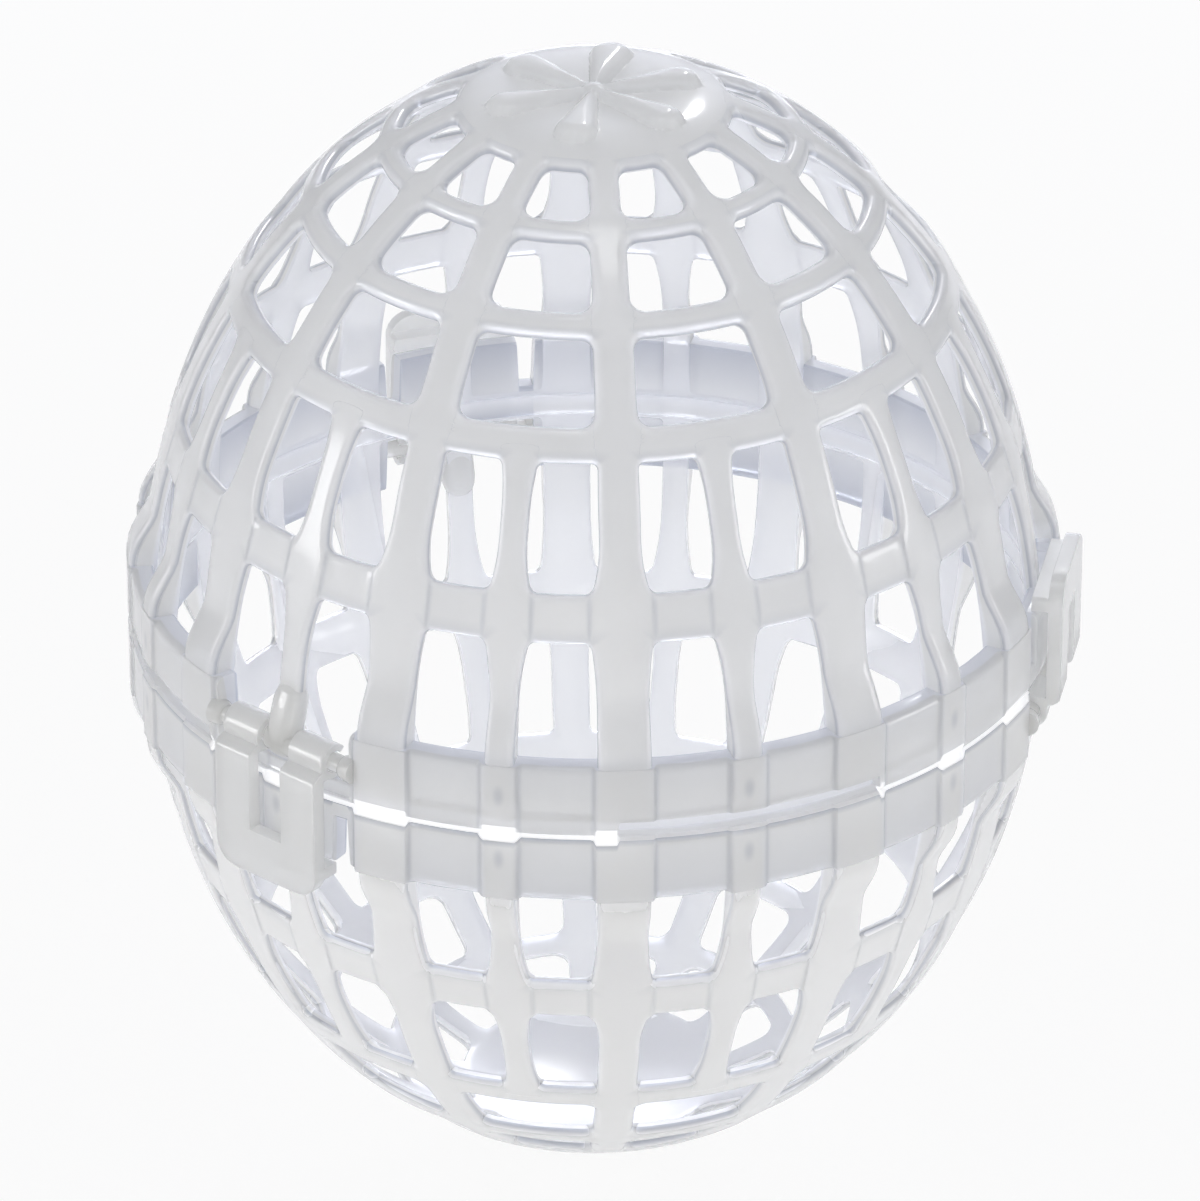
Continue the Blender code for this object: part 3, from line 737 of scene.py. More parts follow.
@dataclass
class Band:
    """The flat band of one half, with its pads, panels, recesses, notches and openings."""

    half: Half
    sectors: int = 12
    turns: int = 960
    inside: float = 71.9 * MM
    outside: float = 76.2 * MM
    height: float = 12.0 * MM
    seam: float = 0.15 * MM
    # Pads carry on the ribs and stand proud of the panels between them
    panel_drop: float = 0.45 * MM
    main_pad: float = 4.6 * MM
    side_pad: float = 2.8 * MM
    corner: float = 0.5 * MM
    corner_reach: float = 1.4
    opening_slices: int = 13
    recess_slices: int = 9
    # The section: its inner top edge, rounded top, outer face and bevel at the seam
    inner_ease: float = 0.3 * MM
    top_round: float = 1.3 * MM
    pad_top_round: float = 0.3 * MM
    round_angles: tuple[float, ...] = (0.0, 30.0, 60.0, 90.0)
    face_shares: tuple[float, ...] = (0.1, 0.5, 0.9)
    bevel_shares: tuple[float, ...] = (0.0, 0.12, 0.5, 1.0)
    panel_bevel: float = 0.5 * MM
    pad_bevel: float = 1.45 * MM
    upper_bevel: float = 0.15 * MM
    upper_pad_bevel: float = 1.2 * MM
    upper_bevel_lean: float = 0.35
    # The lower band's lip, and the upper band's seat over it
    lip_height: float = 1.6 * MM
    lip_outside: float = 73.3 * MM
    lip_ease: float = 0.25 * MM
    seat: float = 73.6 * MM
    seat_height: float = 1.95 * MM
    # Finger recesses, openings for the rods and notches for the clips' hooks
    recess_height: float = 2.6 * MM
    recess_angle: float = 33.6
    recess_azimuths: tuple[float, ...] = (16.0, -74.0, 106.0)
    gap: float = 14.0 * MM
    notch_near: float = 11.1 * MM
    sill_height: float = 2.6 * MM
    sill_outside: float = 74.6 * MM
    notch_sill: float = 3.5 * MM
    # Painted shade on the top edge and on the lower band's seam line, painted highlight on the seam's
    # bevels and a painted sheen on the pads, less highlight in the finger recesses, and the angle over
    # which an edge stays crisp
    painted_top_shade: tuple[float, ...] = (0.8, 0.8, 0.3, 0.3, 0.15)
    painted_seam_shadow: float = 0.9
    painted_pad_sheen: float = 0.25
    painted_recess_shade: float = 0.22
    sharp_angle: float = 32.0

    def azimuths(self) -> np.ndarray:
        """Azimuths of the band's slices: an even turn, with more slices over each corner.

        Returns:
            Azimuths in radians, in rising order.
        """
        ends = [(station.azimuth, math.asin(reach / self.outside), self.opening_slices)
                for station in STATIONS for reach in (self.notch_near, self.gap)]
        ends += [(middle, math.radians(self.recess_angle / 2), self.recess_slices)
                 for middle in self.recess_azimuths]
        extra = []
        for middle, turn, slices in ends:
            near = np.linspace(-self.corner_reach, self.corner_reach, slices) * self.corner / self.outside
            extra += [own_azimuth(self.half, middle) + side * turn + near for side in (-1, 1)]
        return np.sort(np.concatenate([full_turn(self.turns), np.concatenate(extra) % (2 * math.pi)]))

    def across(self, azimuth: np.ndarray, degrees: float) -> np.ndarray:
        """Distance of each point of the band, along its chord, from a station's middle.

        It is the turn's sine times the band's radius, and the radius from one radian on.

        Args:
            azimuth: Azimuths in radians.
            degrees: The station's azimuth in degrees.

        Returns:
            Distances in metres.
        """
        turn = turn_from(azimuth, self.half, degrees)
        return np.where(np.abs(turn) < 1.0, np.abs(np.sin(turn)), 1.0) * self.outside

    def past_pad(self, azimuth: np.ndarray) -> tuple[np.ndarray, np.ndarray]:
        """Distance round the band beyond the nearest rib's pad, and from the nearest side rib's middle.

        Args:
            azimuth: Azimuths in radians.

        Returns:
            The two distances in metres. The first is less than 0 on a pad.
        """
        from_main, from_side = (turn * self.outside for turn in from_ribs(azimuth, self.sectors))
        return np.minimum(from_main - self.main_pad, from_side - self.side_pad), from_side

    def recessed(self, azimuth: np.ndarray) -> np.ndarray:
        """1 inside a finger recess and 0 outside, on a smooth step over the recess's corner.

        Args:
            azimuth: Azimuths in radians.

        Returns:
            Values from 0 to 1.
        """
        reach = math.radians(self.recess_angle / 2)
        beyond = [(np.abs(turn_from(azimuth, self.half, middle)) - reach) * self.outside
                  for middle in self.recess_azimuths]
        return 1 - smooth_step(np.min(beyond, axis=0) / self.corner + 0.5)

    def edges(self, azimuth: np.ndarray, pads: np.ndarray,
              recessed: np.ndarray) -> tuple[np.ndarray, np.ndarray, np.ndarray]:
        """Where the band's section ends at each azimuth.

        Pads, openings, notches and recesses each move an edge on a smooth step over a corner.

        Args:
            azimuth: Azimuths in radians.
            pads: 1 on a pad and 0 on a panel.
            recessed: 1 inside a finger recess and 0 outside.

        Returns:
            Heights of the top and the bottom, and radii of the outer face.
        """
        top = np.full_like(azimuth, self.height)
        outside = self.outside - self.panel_drop * (1 - pads)
        for station in STATIONS:
            x = self.across(azimuth, station.azimuth)
            within = 1 - smooth_step((x - self.gap) / self.corner + 0.5)
            if station.rod_half is self.half:
                top = top + (self.sill_height - top) * within
                outside = outside + (self.sill_outside - outside) * within
            else:
                within = within * smooth_step((x - self.notch_near) / self.corner + 0.5)
                top = top + (self.notch_sill - top) * within
        rise = self.recess_height - self.seam if self.half is Half.UPPER else 0.0
        return top, self.seam + rise * recessed, outside

    def build(self, material: bpy.types.Material) -> bpy.types.Object:
        """Make the band: a closed section whose corners move as it goes round.

        Args:
            material: Its finish.

        Returns:
            The object.
        """
        azimuth = self.azimuths()
        past_pad, off_middle = self.past_pad(azimuth)
        pads = 1.0 - smooth_step(past_pad / self.corner)
        recessed = self.recessed(azimuth)
        bevel_pads = pads * (1 - recessed)
        top, bottom, outside = self.edges(azimuth, pads, recessed)
        lower = self.half is Half.LOWER
        lean, least, full = self.upper_bevel_lean, self.upper_bevel, self.upper_pad_bevel
        if lower:
            lean, least, full = 1.0, self.panel_bevel, self.pad_bevel
        most = (top - bottom) / 4
        low_round = np.minimum(least + (full - least) * bevel_pads, most)
        top_round = np.minimum(self.top_round + (self.pad_top_round - self.top_round) * pads, most)
        inside = np.full_like(azimuth, self.inside)
        ease = self.inner_ease
        section = [(inside, top - ease), (inside + ease, top), (inside + 2 * ease, top)]
        for angle in np.radians(self.round_angles):
            section.append((outside - top_round * (1 - math.sin(angle)),
                            top - top_round * (1 - math.cos(angle))))
        for share in self.face_shares:
            high, low = top - top_round, bottom + low_round
            section.append((outside, high + (low - high) * share))
        bevel_start = len(section) + 1
        for share in self.bevel_shares:
            section.append((outside - low_round * lean * share, bottom + low_round * (1 - share)))
        bevel_stop = len(section)
        if lower:
            lip = np.full_like(azimuth, self.lip_outside)
            tip = np.full_like(azimuth, -self.lip_height)
            ease = self.lip_ease
            section += [(lip, bottom), (lip, tip + ease), (lip - ease, tip),
                        (inside + ease, tip), (inside, tip + ease)]
        else:
            seat = np.full_like(azimuth, self.seat)
            roof = np.full_like(azimuth, self.seat_height)
            section += [(seat, bottom), (seat, np.maximum(roof, bottom)), (inside, roof)]
        radius, height = (np.stack(values) for values in zip(*section))
        points = np.stack([radius * np.sin(azimuth), -radius * np.cos(azimuth), height], axis=-1)
        crown = len(self.painted_top_shade)
        rows = np.arange(len(section))[:, None]
        # Painted highlight on the seam's bevel rows, less of it in the lower band's finger recesses as
        # painted shade; painted sheen on the pads
        painted_glow = 1 - self.painted_recess_shade * recessed if lower else bevel_pads
        bevel = np.where((rows >= bevel_start) & (rows < bevel_stop), painted_glow, 0.0)
        painted_shine = np.where((rows >= crown) & (rows < bevel_start), self.painted_pad_sheen * pads, 0.0)
        # Painted shade on the top rows, and the lower band's painted seam shadow
        outline = np.zeros(rows.shape)
        outline[:crown, 0] = self.painted_top_shade
        outline[bevel_start - 1, 0] = self.painted_seam_shadow if lower else 0.0
        seen = (rows >= crown - 1) & (rows < bevel_stop)
        skin = Skin()
        skin.grid(points, loop_rows=True, loop_columns=True, outline=outline,
                  bevel=np.maximum(bevel, painted_shine),
                  past_rib=np.where(seen, np.minimum(past_pad / MM, Skin.OUTER_FACE), Skin.INNER_FACE),
                  off_middle=np.where(seen, off_middle / MM, Skin.AWAY))
        band = skin.finish(f"{self.half.value}_band", half_place(self.half), material, self.sharp_angle)
        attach(band, self.half.value)
        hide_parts(f"{self.half.value}_shell")
        return band


@dataclass
class Rod:
    """The rod at a station, with the lug that hangs from the side rib and a collar at each end."""

    station: Station
    reach: float = 74.0 * MM
    height: float = 6.0 * MM
    radius: float = 1.5 * MM
    half_length: float = 15.1 * MM
    lug_radius: float = 2.3 * MM
    lug_width: float = 5.8 * MM
    # Neck and bulb, in millimetres: height, half width, half depth and place outwards
    column: tuple[tuple[float, float, float, float], ...] = (
        (4.4, 2.5, 1.8, 74.3), (6.5, 2.75, 2.1, 74.3), (8.5, 2.9, 2.3, 73.7), (10.5, 2.9, 2.4, 73.0),
        (12.3, 2.9, 2.3, 72.5), (13.5, 2.75, 2.1, 72.2), (14.5, 2.4, 1.75, 72.0),
        (15.3, 1.8, 1.25, 71.9), (15.8, 1.0, 0.7, 71.85), (16.0, 0.0, 0.0, 71.8),
    )
    # Collar, in millimetres: place along the rod and radius
    collar: tuple[tuple[float, float], ...] = (
        (12.5, 1.3), (12.55, 1.5), (12.75, 1.8), (13.15, 2.0), (13.8, 2.15), (15.1, 2.2), (15.1, 0.0))
    lug_ease: float = 0.5 * MM
    lug_angles: tuple[float, ...] = (0.0, 30.0, 60.0, 90.0)
    neck_steps: int = 5
    neck_ease: float = 0.35
    neck_power: float = 0.8
    around: int = 48
    sharp_angle: float = 50.0

    def turned(self, skin: Skin, profile: np.ndarray) -> None:
        """Turn a profile about the rod's axis.

        Args:
            skin: The mesh in the making.
            profile: Places along X with their radii.
        """
        angle = full_turn(self.around)
        x = np.broadcast_to(profile[:, :1], (len(profile), self.around))
        y = self.reach + profile[:, 1:] * np.cos(angle)
        z = self.height + profile[:, 1:] * np.sin(angle)
        skin.grid(np.stack([x, y, z], axis=-1), loop_columns=True)

    def neck(self, skin: Skin) -> None:
        """Neck and bulb over the lug: rounded sections on a stack of heights.

        Between the rows of its table the values run partly on a smooth step and partly straight.
        Each section is a circle whose sine and cosine are raised to a power under 1, which squares
        it a little.

        Args:
            skin: The mesh in the making.
        """
        table = np.array(self.column) * MM
        even = np.arange(self.neck_steps) / self.neck_steps
        share = (smooth_step(even) * self.neck_ease + even * (1 - self.neck_ease))[None, :, None]
        rows = table[:-1, None] + (table[1:, None] - table[:-1, None]) * share
        rows = np.vstack([rows.reshape(-1, 4), table[-1:]])
        rows = np.vstack([rows[:1] * (1, 0, 0, 1), rows])
        angle = full_turn(self.around)
        across, out = (np.sign(v) * np.abs(v) ** self.neck_power
                       for v in (np.round(np.cos(angle), 9), np.round(np.sin(angle), 9)))
        height = np.broadcast_to(rows[:, :1], (len(rows), self.around))
        points = np.stack([rows[:, 1:2] * across, rows[:, 3:4] + rows[:, 2:3] * out, height], axis=-1)
        skin.grid(points, loop_columns=True)

    def build(self, material: bpy.types.Material) -> bpy.types.Object:
        """Make the rod, lug, neck and collars.

        Args:
            material: Their finish, which is the half's.

        Returns:
            The object.
        """
        skin = Skin()
        ends = self.half_length
        self.turned(skin, np.array([(-ends, 0.0), (-ends, self.radius), (0.0, self.radius),
                                    (ends, self.radius), (ends, 0.0)]))
        side, ease, full = self.lug_width / 2, self.lug_ease, self.lug_radius
        bends = np.radians(self.lug_angles)
        left = [(-side + ease * (1 - math.cos(a)), full - ease * (1 - math.sin(a))) for a in bends]
        right = [(-x, r) for x, r in reversed(left)]
        self.turned(skin, np.array([(-side, 0.0), *left, *right, (side, 0.0)]))
        self.neck(skin)
        for side in (-1, 1):
            ring = np.array([(side * self.collar[0][0], 0.0), *((side * x, r) for x, r in self.collar)])
            self.turned(skin, ring * MM)
        half = self.station.rod_half
        name = self.station.clip.replace("clip", "rod")
        rod = skin.finish(name, station_place(self.station.azimuth, half), material, self.sharp_angle)
        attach(rod, half.value)
        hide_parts(f"{half.value}_shell")
        return rod


@dataclass
class Clip:
    """A swinging clip: two legs with a knuckle each, a plate across, and a hook behind it."""

    station: Station
    reach: float = 74.0 * MM
    height: float = 6.0 * MM
    bore: float = 1.8 * MM
    knuckle: float = 2.95 * MM
    inner: float = 2.55 * MM
    outer: float = 4.95 * MM
    half_width: float = 10.7 * MM
    slot_half: float = 3.3 * MM
    slot_end: float = 15.5 * MM
    shoulder: float = 1.9 * MM
    # Front of a leg under the knuckle, in millimetres behind the plate's face and over the shoulder
    shoulder_line: tuple[tuple[float, float], ...] = ((1.2, 0.45), (0.5, 0.0), (0.15, -0.35), (0.0, -0.9))
    ledge: float = 18.0 * MM
    hook_clearance: float = 0.35 * MM
    hook_thickness: float = 2.4 * MM
    hook_tip: float = -0.2 * MM
    tail: float = 5.5 * MM
    tail_corner: float = 4.2 * MM
    tail_angles: tuple[float, ...] = (0.0, 15.0, 30.0, 45.0, 60.0, 75.0, 90.0)
    plate_steps: int = 3
    # The knuckle, an open ring: its angles in degrees run from straight outwards, up over the rod
    mouth: float = 142.0
    knuckle_start: float = -60.0
    knuckle_end: float = -22.0
    back_steps: int = 12
    bore_steps: int = 30
    front_steps: int = 24
    # The bevel makes the clip's edges, so none of the others is crisp
    edge: float = 0.55 * MM
    edge_steps: int = 3
    edge_angle: float = 38.0
    sharp_angle: float = 180.0

    def plate(self, tail: float) -> list[tuple[float, float]]:
        """Side outline of the plate below the slot, from its front round the hook to its back.

        Args:
            tail: Height of the lower end.

        Returns:
            Places outwards and heights from the rod's axis.
        """
        hook_top = -(self.ledge + self.hook_clearance)
        hook_bottom = max(hook_top - self.hook_thickness, tail)
        return [(self.outer, -self.slot_end), (self.outer, tail), (self.inner, tail),
                (self.inner, hook_bottom), (self.hook_tip, hook_bottom), (self.hook_tip, hook_top),
                (self.inner, hook_top), (self.inner, -self.slot_end)]

    def leg_top(self) -> list[tuple[float, float]]:
        """Side outline of a leg over the slot's end: up the back, round the knuckle, down the front.

        Returns:
            Places outwards and heights from the rod's axis.
        """
        def arc(radius: float, start: float, end: float, steps: int) -> list[tuple[float, float]]:
            """Points on a circle round the rod, from one angle in degrees to another."""
            angles = np.radians(np.linspace(start, end, steps + 1))
            return [(float(radius * np.cos(a)), float(radius * np.sin(a))) for a in angles]

        return [(self.inner, self.knuckle * math.sin(math.radians(self.knuckle_start))),
                *arc(self.knuckle, self.knuckle_start, -self.mouth, self.back_steps),
                *arc(self.bore, -self.mouth, self.mouth, self.bore_steps),
                *arc(self.knuckle, self.mouth, self.knuckle_end, self.front_steps),
                *((self.outer - back * MM, up * MM - self.shoulder) for back, up in self.shoulder_line)]

    def sweep(self, skin: Skin, start: float, stop: float, top: list[tuple[float, float]],
              closed: bool) -> np.ndarray:
        """Draw the outline along X, its tail rising in a quarter round at the clip's corners.

        Args:
            skin: The mesh in the making.
            start: Where it starts along X.
            stop: Where it stops.
            top: Outline over the plate.
            closed: Whether the outline closes over its top.

        Returns:
            The points, slices along X by corners by 3.
        """
        bend = self.tail_corner
        turn = self.half_width - bend + bend * np.sin(np.radians(self.tail_angles))
        flat = np.linspace(0.0, self.half_width - bend, self.plate_steps + 1)[1:-1]
        stops = np.concatenate([flat, turn, [self.slot_half]])
        places = np.unique(np.round(np.concatenate([stops, -stops, [start, stop]]), 8))
        places = places[(places >= start - 1e-7) & (places <= stop + 1e-7)]
        slices = []
        for place in places:
            over = max(0.0, abs(place) - (self.half_width - bend))
            rise = bend - math.sqrt(max(0.0, bend**2 - over**2))
            points = self.plate(-(self.ledge + self.tail) + rise) + top
            slices.append([(place, y, z) for y, z in points])
        grid = np.array(slices)
        skin.grid(grid, loop_columns=closed)
        return grid

    def build(self, material: bpy.types.Material) -> bpy.types.Object:
        """Make the clip: its plate and two legs share their corners, and a bevel eases the edges.

        Args:
            material: Its finish.

        Returns:
            The object.
        """
        skin = Skin()
        top = self.leg_top()
        lower = len(self.plate(0.0))
        for start, stop, inner_end in ((-self.half_width, -self.slot_half, -1),
                                       (self.slot_half, self.half_width, 0)):
            leg = self.sweep(skin, start, stop, top, True)
            skin.polygon(leg[0] if inner_end else leg[-1])
            side = leg[inner_end]
            skin.polygon(np.vstack([side[lower - 1:], side[:1]]))
        middle = self.sweep(skin, -self.slot_half, self.slot_half, [], False)
        skin.grid(np.stack([middle[:, 0], middle[:, -1]]))
        place = station_place(self.station.azimuth, self.station.rod_half)
        place = place @ np.array(Matrix.Translation((0.0, self.reach, self.height)))
        clip = skin.finish(f"{self.station.clip}_moulding", place, material, self.sharp_angle)
        ease = clip.modifiers.new("eased_edges", "BEVEL")
        ease.width = self.edge
        ease.segments = self.edge_steps
        ease.limit_method = "ANGLE"
        ease.angle_limit = math.radians(self.edge_angle)
        ease.harden_normals = True
        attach(clip, self.station.body)
        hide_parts(self.station.clip)
        return clip


# Finishes

def linear(code: str) -> tuple[float, float, float, float]:
    """Linear colour of an sRGB hex value.

    Args:
        code: Six hex digits.

    Returns:
        Red, green, blue and 1.
    """
    parts = [int(code[i:i + 2], 16) / 255 for i in (0, 2, 4)]
    bent = [c / 12.92 if c <= 0.04045 else ((c + 0.055) / 1.055) ** 2.4 for c in parts]
    return (*bent, 1.0)


def add(tree: bpy.types.NodeTree, kind: str, settings: dict, links: dict | None = None) -> bpy.types.Node:
    """Add a node with its settings and the links into it.

    Args:
        tree: The node tree.
        kind: The node's type, as what follows "ShaderNode" in Blender's name for it.
        settings: Socket values by name or number, and node properties by name.
        links: Output sockets, or nodes for their first one, by the name or number of the input
            that they go to.

    Returns:
        The node.
    """
    node = tree.nodes.new(f"ShaderNode{kind}")
    for key, value in settings.items():
        if isinstance(key, str) and hasattr(node, key):
            setattr(node, key, value)
        else:
            node.inputs[key].default_value = value
    for key, source in (links or {}).items():
        socket = source.outputs[0] if isinstance(source, bpy.types.Node) else source
        tree.links.new(socket, node.inputs[key])
    return node


def fresh_tree(owner: bpy.types.Material | bpy.types.World) -> bpy.types.NodeTree:
    """Switch on a material's or a world's nodes, and clear them.

    Args:
        owner: The material or world.

    Returns:
        Its node tree.
    """
    owner.use_nodes = True
    owner.node_tree.nodes.clear()
    return owner.node_tree


@dataclass(frozen=True)
class MouldedPolypropylene:
    """Natural polypropylene, injection moulded: milky and translucent, with a satin skin.

    The resin scatters light a few millimetres deep, so walls that are lit from behind glow; a faint
    painted glow, an emission, lifts them further, and painted shade darkens their edges. The steel of
    the mould leaves a faint unevenness in the gloss.
    """

    name: str
    body: str = "ECECEA"
    cloud: str = "F1F1EF"
    # Painted shade hue (also the pin ovals), painted highlight white, and the inner faces' painted glow hue
    edge: str = "9DA3B1"
    bevel: str = "FFFFFF"
    painted_inner_hue: str = "E0E4F8"
    ior: float = 1.49
    roughness: float = 0.38
    roughness_spread: float = 0.05
    skin_gloss: float = 0.11
    clearness: float = 0.5
    scatter: float = 0.85
    depth: float = 3.5 * MM
    # Clouds in the resin, unevenness of the gloss, and waves in the skin
    noise_low: float = 0.3
    noise_high: float = 0.7
    cloud_size: float = 12 * MM
    polish_size: float = 5 * MM
    wave_length: float = 3 * MM
    wave_depth: float = 0.02 * MM
    wave_strength: float = 0.15
    # Step beside a rib and the painted shade line on it, with places in millimetres past the rib's edge
    step_start: float = -0.1
    step_end: float = 0.5
    step_depth: float = 0.3 * MM
    step_strength: float = 0.8
    line_middle: float = 0.3
    line_reach: float = 0.8
    painted_step_shade: float = 0.32
    # Oval that an ejector pin leaves, up and down from a level over the seam, and, in millimetres
    # as the mark gives them, out from the middle of a side rib's pad
    pin_rise: float = 1.0 * MM
    pin_from_seam: float = 5.7 * MM
    pin_half_height: float = 2.5 * MM
    pin_half_width: float = 1.3
    pin_core: float = 0.1
    pin_dark: float = 0.5
    # Painted glow, an emission without a lamp, of the walls, the seam's bevels and the inner faces, and
    # from which marks it sets in
    painted_wall_glow: float = 0.07
    painted_seam_glow: float = 0.48
    painted_seam_glow_start: float = 0.75
    painted_inner_glow: float = 0.1
    inner_start: float = 6.5
    inner_end: float = 8.5

    def make(self) -> bpy.types.Material:
        """Make the material.

        Returns:
            The material.
        """
        material = bpy.data.materials.new(self.name)
        tree = fresh_tree(material)
        places = add(tree, "TexCoord", {}).outputs["Object"]
        outline, past, bevel, middle = (
            add(tree, "Attribute", {"attribute_name": mark}).outputs["Fac"] for mark in Skin.MARKS)
        # Flow of the melt leaves clouds about 12 mm across
        flow = add(tree, "TexNoise", {"Scale": 1 / self.cloud_size, "Detail": 3.0}, {"Vector": places})
        tint = add(tree, "Mix", {"data_type": "RGBA", 6: linear(self.body), 7: linear(self.cloud)},
                   {0: flow})
        # Painted shade along a rib's step down to its ring or panel: a soft dark line 1.6 mm wide
        off = add(tree, "Math", {"operation": "SUBTRACT", 1: self.line_middle}, {0: past})
        off = add(tree, "Math", {"operation": "ABSOLUTE"}, {0: off})
        painted_step_line = add(tree, "MapRange",
                   {"interpolation_type": "SMOOTHSTEP", "From Min": 0.0, "From Max": self.line_reach,
                    "To Min": self.painted_step_shade, "To Max": 0.0}, {"Value": off})
        # Ejector pins leave a soft oval 2.6 mm wide and 5 mm tall on each side rib's pad
        tall = add(tree, "SeparateXYZ", {}, {"Vector": places}).outputs["Z"]
        for operation, value in (("SUBTRACT", SEAM_HEIGHT + self.pin_rise), ("ABSOLUTE", 0.0),
                                 ("SUBTRACT", self.pin_from_seam), ("DIVIDE", self.pin_half_height)):
            tall = add(tree, "Math", {"operation": operation, 1: value}, {0: tall})
        wide = add(tree, "Math", {"operation": "DIVIDE", 1: self.pin_half_width}, {0: middle})
        oval = add(tree, "CombineXYZ", {}, {"X": wide, "Y": tall})
        oval = add(tree, "VectorMath", {"operation": "LENGTH"}, {0: oval})
        pin = add(tree, "MapRange",
                  {"interpolation_type": "SMOOTHSTEP", "From Min": self.pin_core, "From Max": 1.0,
                   "To Min": self.pin_dark, "To Max": 0.0}, {"Value": oval.outputs["Value"]})
        dark = add(tree, "Math", {"operation": "MAXIMUM"}, {0: painted_step_line, 1: pin})
        dark = add(tree, "Math", {"operation": "MAXIMUM"}, {0: dark, 1: outline})
        # Painted shade at edges, steps and seam, and the pin ovals, darken the colour towards the edge hue;
        # painted highlight lightens it to white
        shaded = add(tree, "Mix", {"data_type": "RGBA", 7: linear(self.edge)},
                     {0: dark, 6: tint.outputs[2]})
        colour = add(tree, "Mix", {"data_type": "RGBA", 7: linear(self.bevel)},
                     {0: bevel, 6: shaded.outputs[2]})
        # The mould's polish differs over about 5 mm
        polish = add(tree, "TexNoise", {"Scale": 1 / self.polish_size, "Detail": 2.0}, {"Vector": places})
        gloss = add(tree, "MapRange",
                    {"From Min": self.noise_low, "From Max": self.noise_high,
                     "To Min": self.roughness - self.roughness_spread,
                     "To Max": self.roughness + self.roughness_spread}, {"Value": polish})
        # Shrinkage as the part cools leaves waves 3 mm long and some hundredths deep
        waves = add(tree, "TexNoise", {"Scale": 1 / self.wave_length, "Detail": 1.0}, {"Vector": places})
        ripple = add(tree, "Bump", {"Strength": self.wave_strength, "Distance": self.wave_depth},
                     {"Height": waves})
        # The step itself falls by 0.3 mm
        fall = add(tree, "MapRange",
                   {"interpolation_type": "SMOOTHSTEP", "From Min": self.step_start,
                    "From Max": self.step_end, "To Min": 1.0, "To Max": 0.0}, {"Value": past})
        step = add(tree, "Bump", {"Strength": self.step_strength, "Distance": self.step_depth},
                   {"Height": fall, "Normal": ripple})
        # Painted glow: a faint emission lifts the shadows of all walls, and a stronger one makes
        # the seam's bevels bright
        painted_glow = add(tree, "MapRange",
                   {"From Min": self.painted_seam_glow_start, "From Max": 1.0, "To Min": self.painted_wall_glow,
                    "To Max": self.painted_seam_glow}, {"Value": bevel})
        # Painted glow on the inner faces: a faint emission, bluer than the rest
        inner = add(tree, "MapRange",
                    {"From Min": self.inner_start, "From Max": self.inner_end, "To Min": 0.0,
                     "To Max": 1.0}, {"Value": past})
        painted_shine = add(tree, "Math", {"operation": "MULTIPLY_ADD", 1: self.painted_inner_glow}, {0: inner, 2: painted_glow})
        hue = add(tree, "Mix", {"data_type": "RGBA", 6: linear("FFFFFF"), 7: linear(self.painted_inner_hue)},
                  {0: inner})
        shader = add(tree, "BsdfPrincipled",
                     {"Metallic": 0.0, "IOR": self.ior, "Transmission Weight": self.clearness,
                      "Subsurface Weight": self.scatter, "Subsurface Radius": (1.0, 1.0, 1.0),
                      "Subsurface Scale": self.depth, "Coat Weight": 1.0,
                      "Coat Roughness": self.skin_gloss, "Coat IOR": self.ior},
                     {"Base Color": colour.outputs[2], "Roughness": gloss, "Normal": step,
                      "Emission Strength": painted_shine, "Emission Color": hue.outputs[2]})
        add(tree, "OutputMaterial", {}, {"Surface": shader})
        return material


@dataclass(frozen=True)
class WhitePaper:
    """White paper, uncoated: white to the eye, with a share of its shading left for the shadow.

    Skins that mirror the paper or let it show through see it whiter than plain shading, but not
    fully white.
    """

    name: str
    sheet: str = "FAFAFA"
    shadow: float = 0.1
    through: float = 0.55

    def make(self) -> bpy.types.Material:
        """Make the material.

        Returns:
            The material.
        """
        material = bpy.data.materials.new(self.name)
        tree = fresh_tree(material)
        plain = add(tree, "BsdfDiffuse", {"Color": linear(self.sheet)})
        white = add(tree, "Emission", {"Color": linear("FFFFFF"), "Strength": 1.0})
        path = add(tree, "LightPath", {}).outputs
        through = add(tree, "Math", {"operation": "MAXIMUM"},
                      {0: path["Is Glossy Ray"], 1: path["Is Transmission Ray"]})
        through = add(tree, "Math", {"operation": "MULTIPLY", 1: self.through}, {0: through})
        seen = add(tree, "Math", {"operation": "MAXIMUM"}, {0: path["Is Camera Ray"], 1: through})
        share = add(tree, "Math", {"operation": "MULTIPLY", 1: 1 - self.shadow}, {0: seen})
        mixed = add(tree, "MixShader", {}, {0: share, 1: plain, 2: white})
        add(tree, "OutputMaterial", {}, {"Surface": mixed})
        return material


# Studio

@dataclass(frozen=True)
class Lamp:
    """Square soft lamp that points at the ball's middle.

    Attributes:
        name: The lamp's name.
        azimuth: Azimuth in degrees.
        elevation: Elevation in degrees.
        distance: Distance from the ball's middle.
        size: Side of the square.
        power: Power in watts.
        colour: Colour as sRGB hex.
        glints: Whether it is seen in glossy skins.
    """

    name: str
    azimuth: float
    elevation: float
    distance: float
    size: float
    power: float
    colour: str = "FFFFFF"
    glints: bool = True


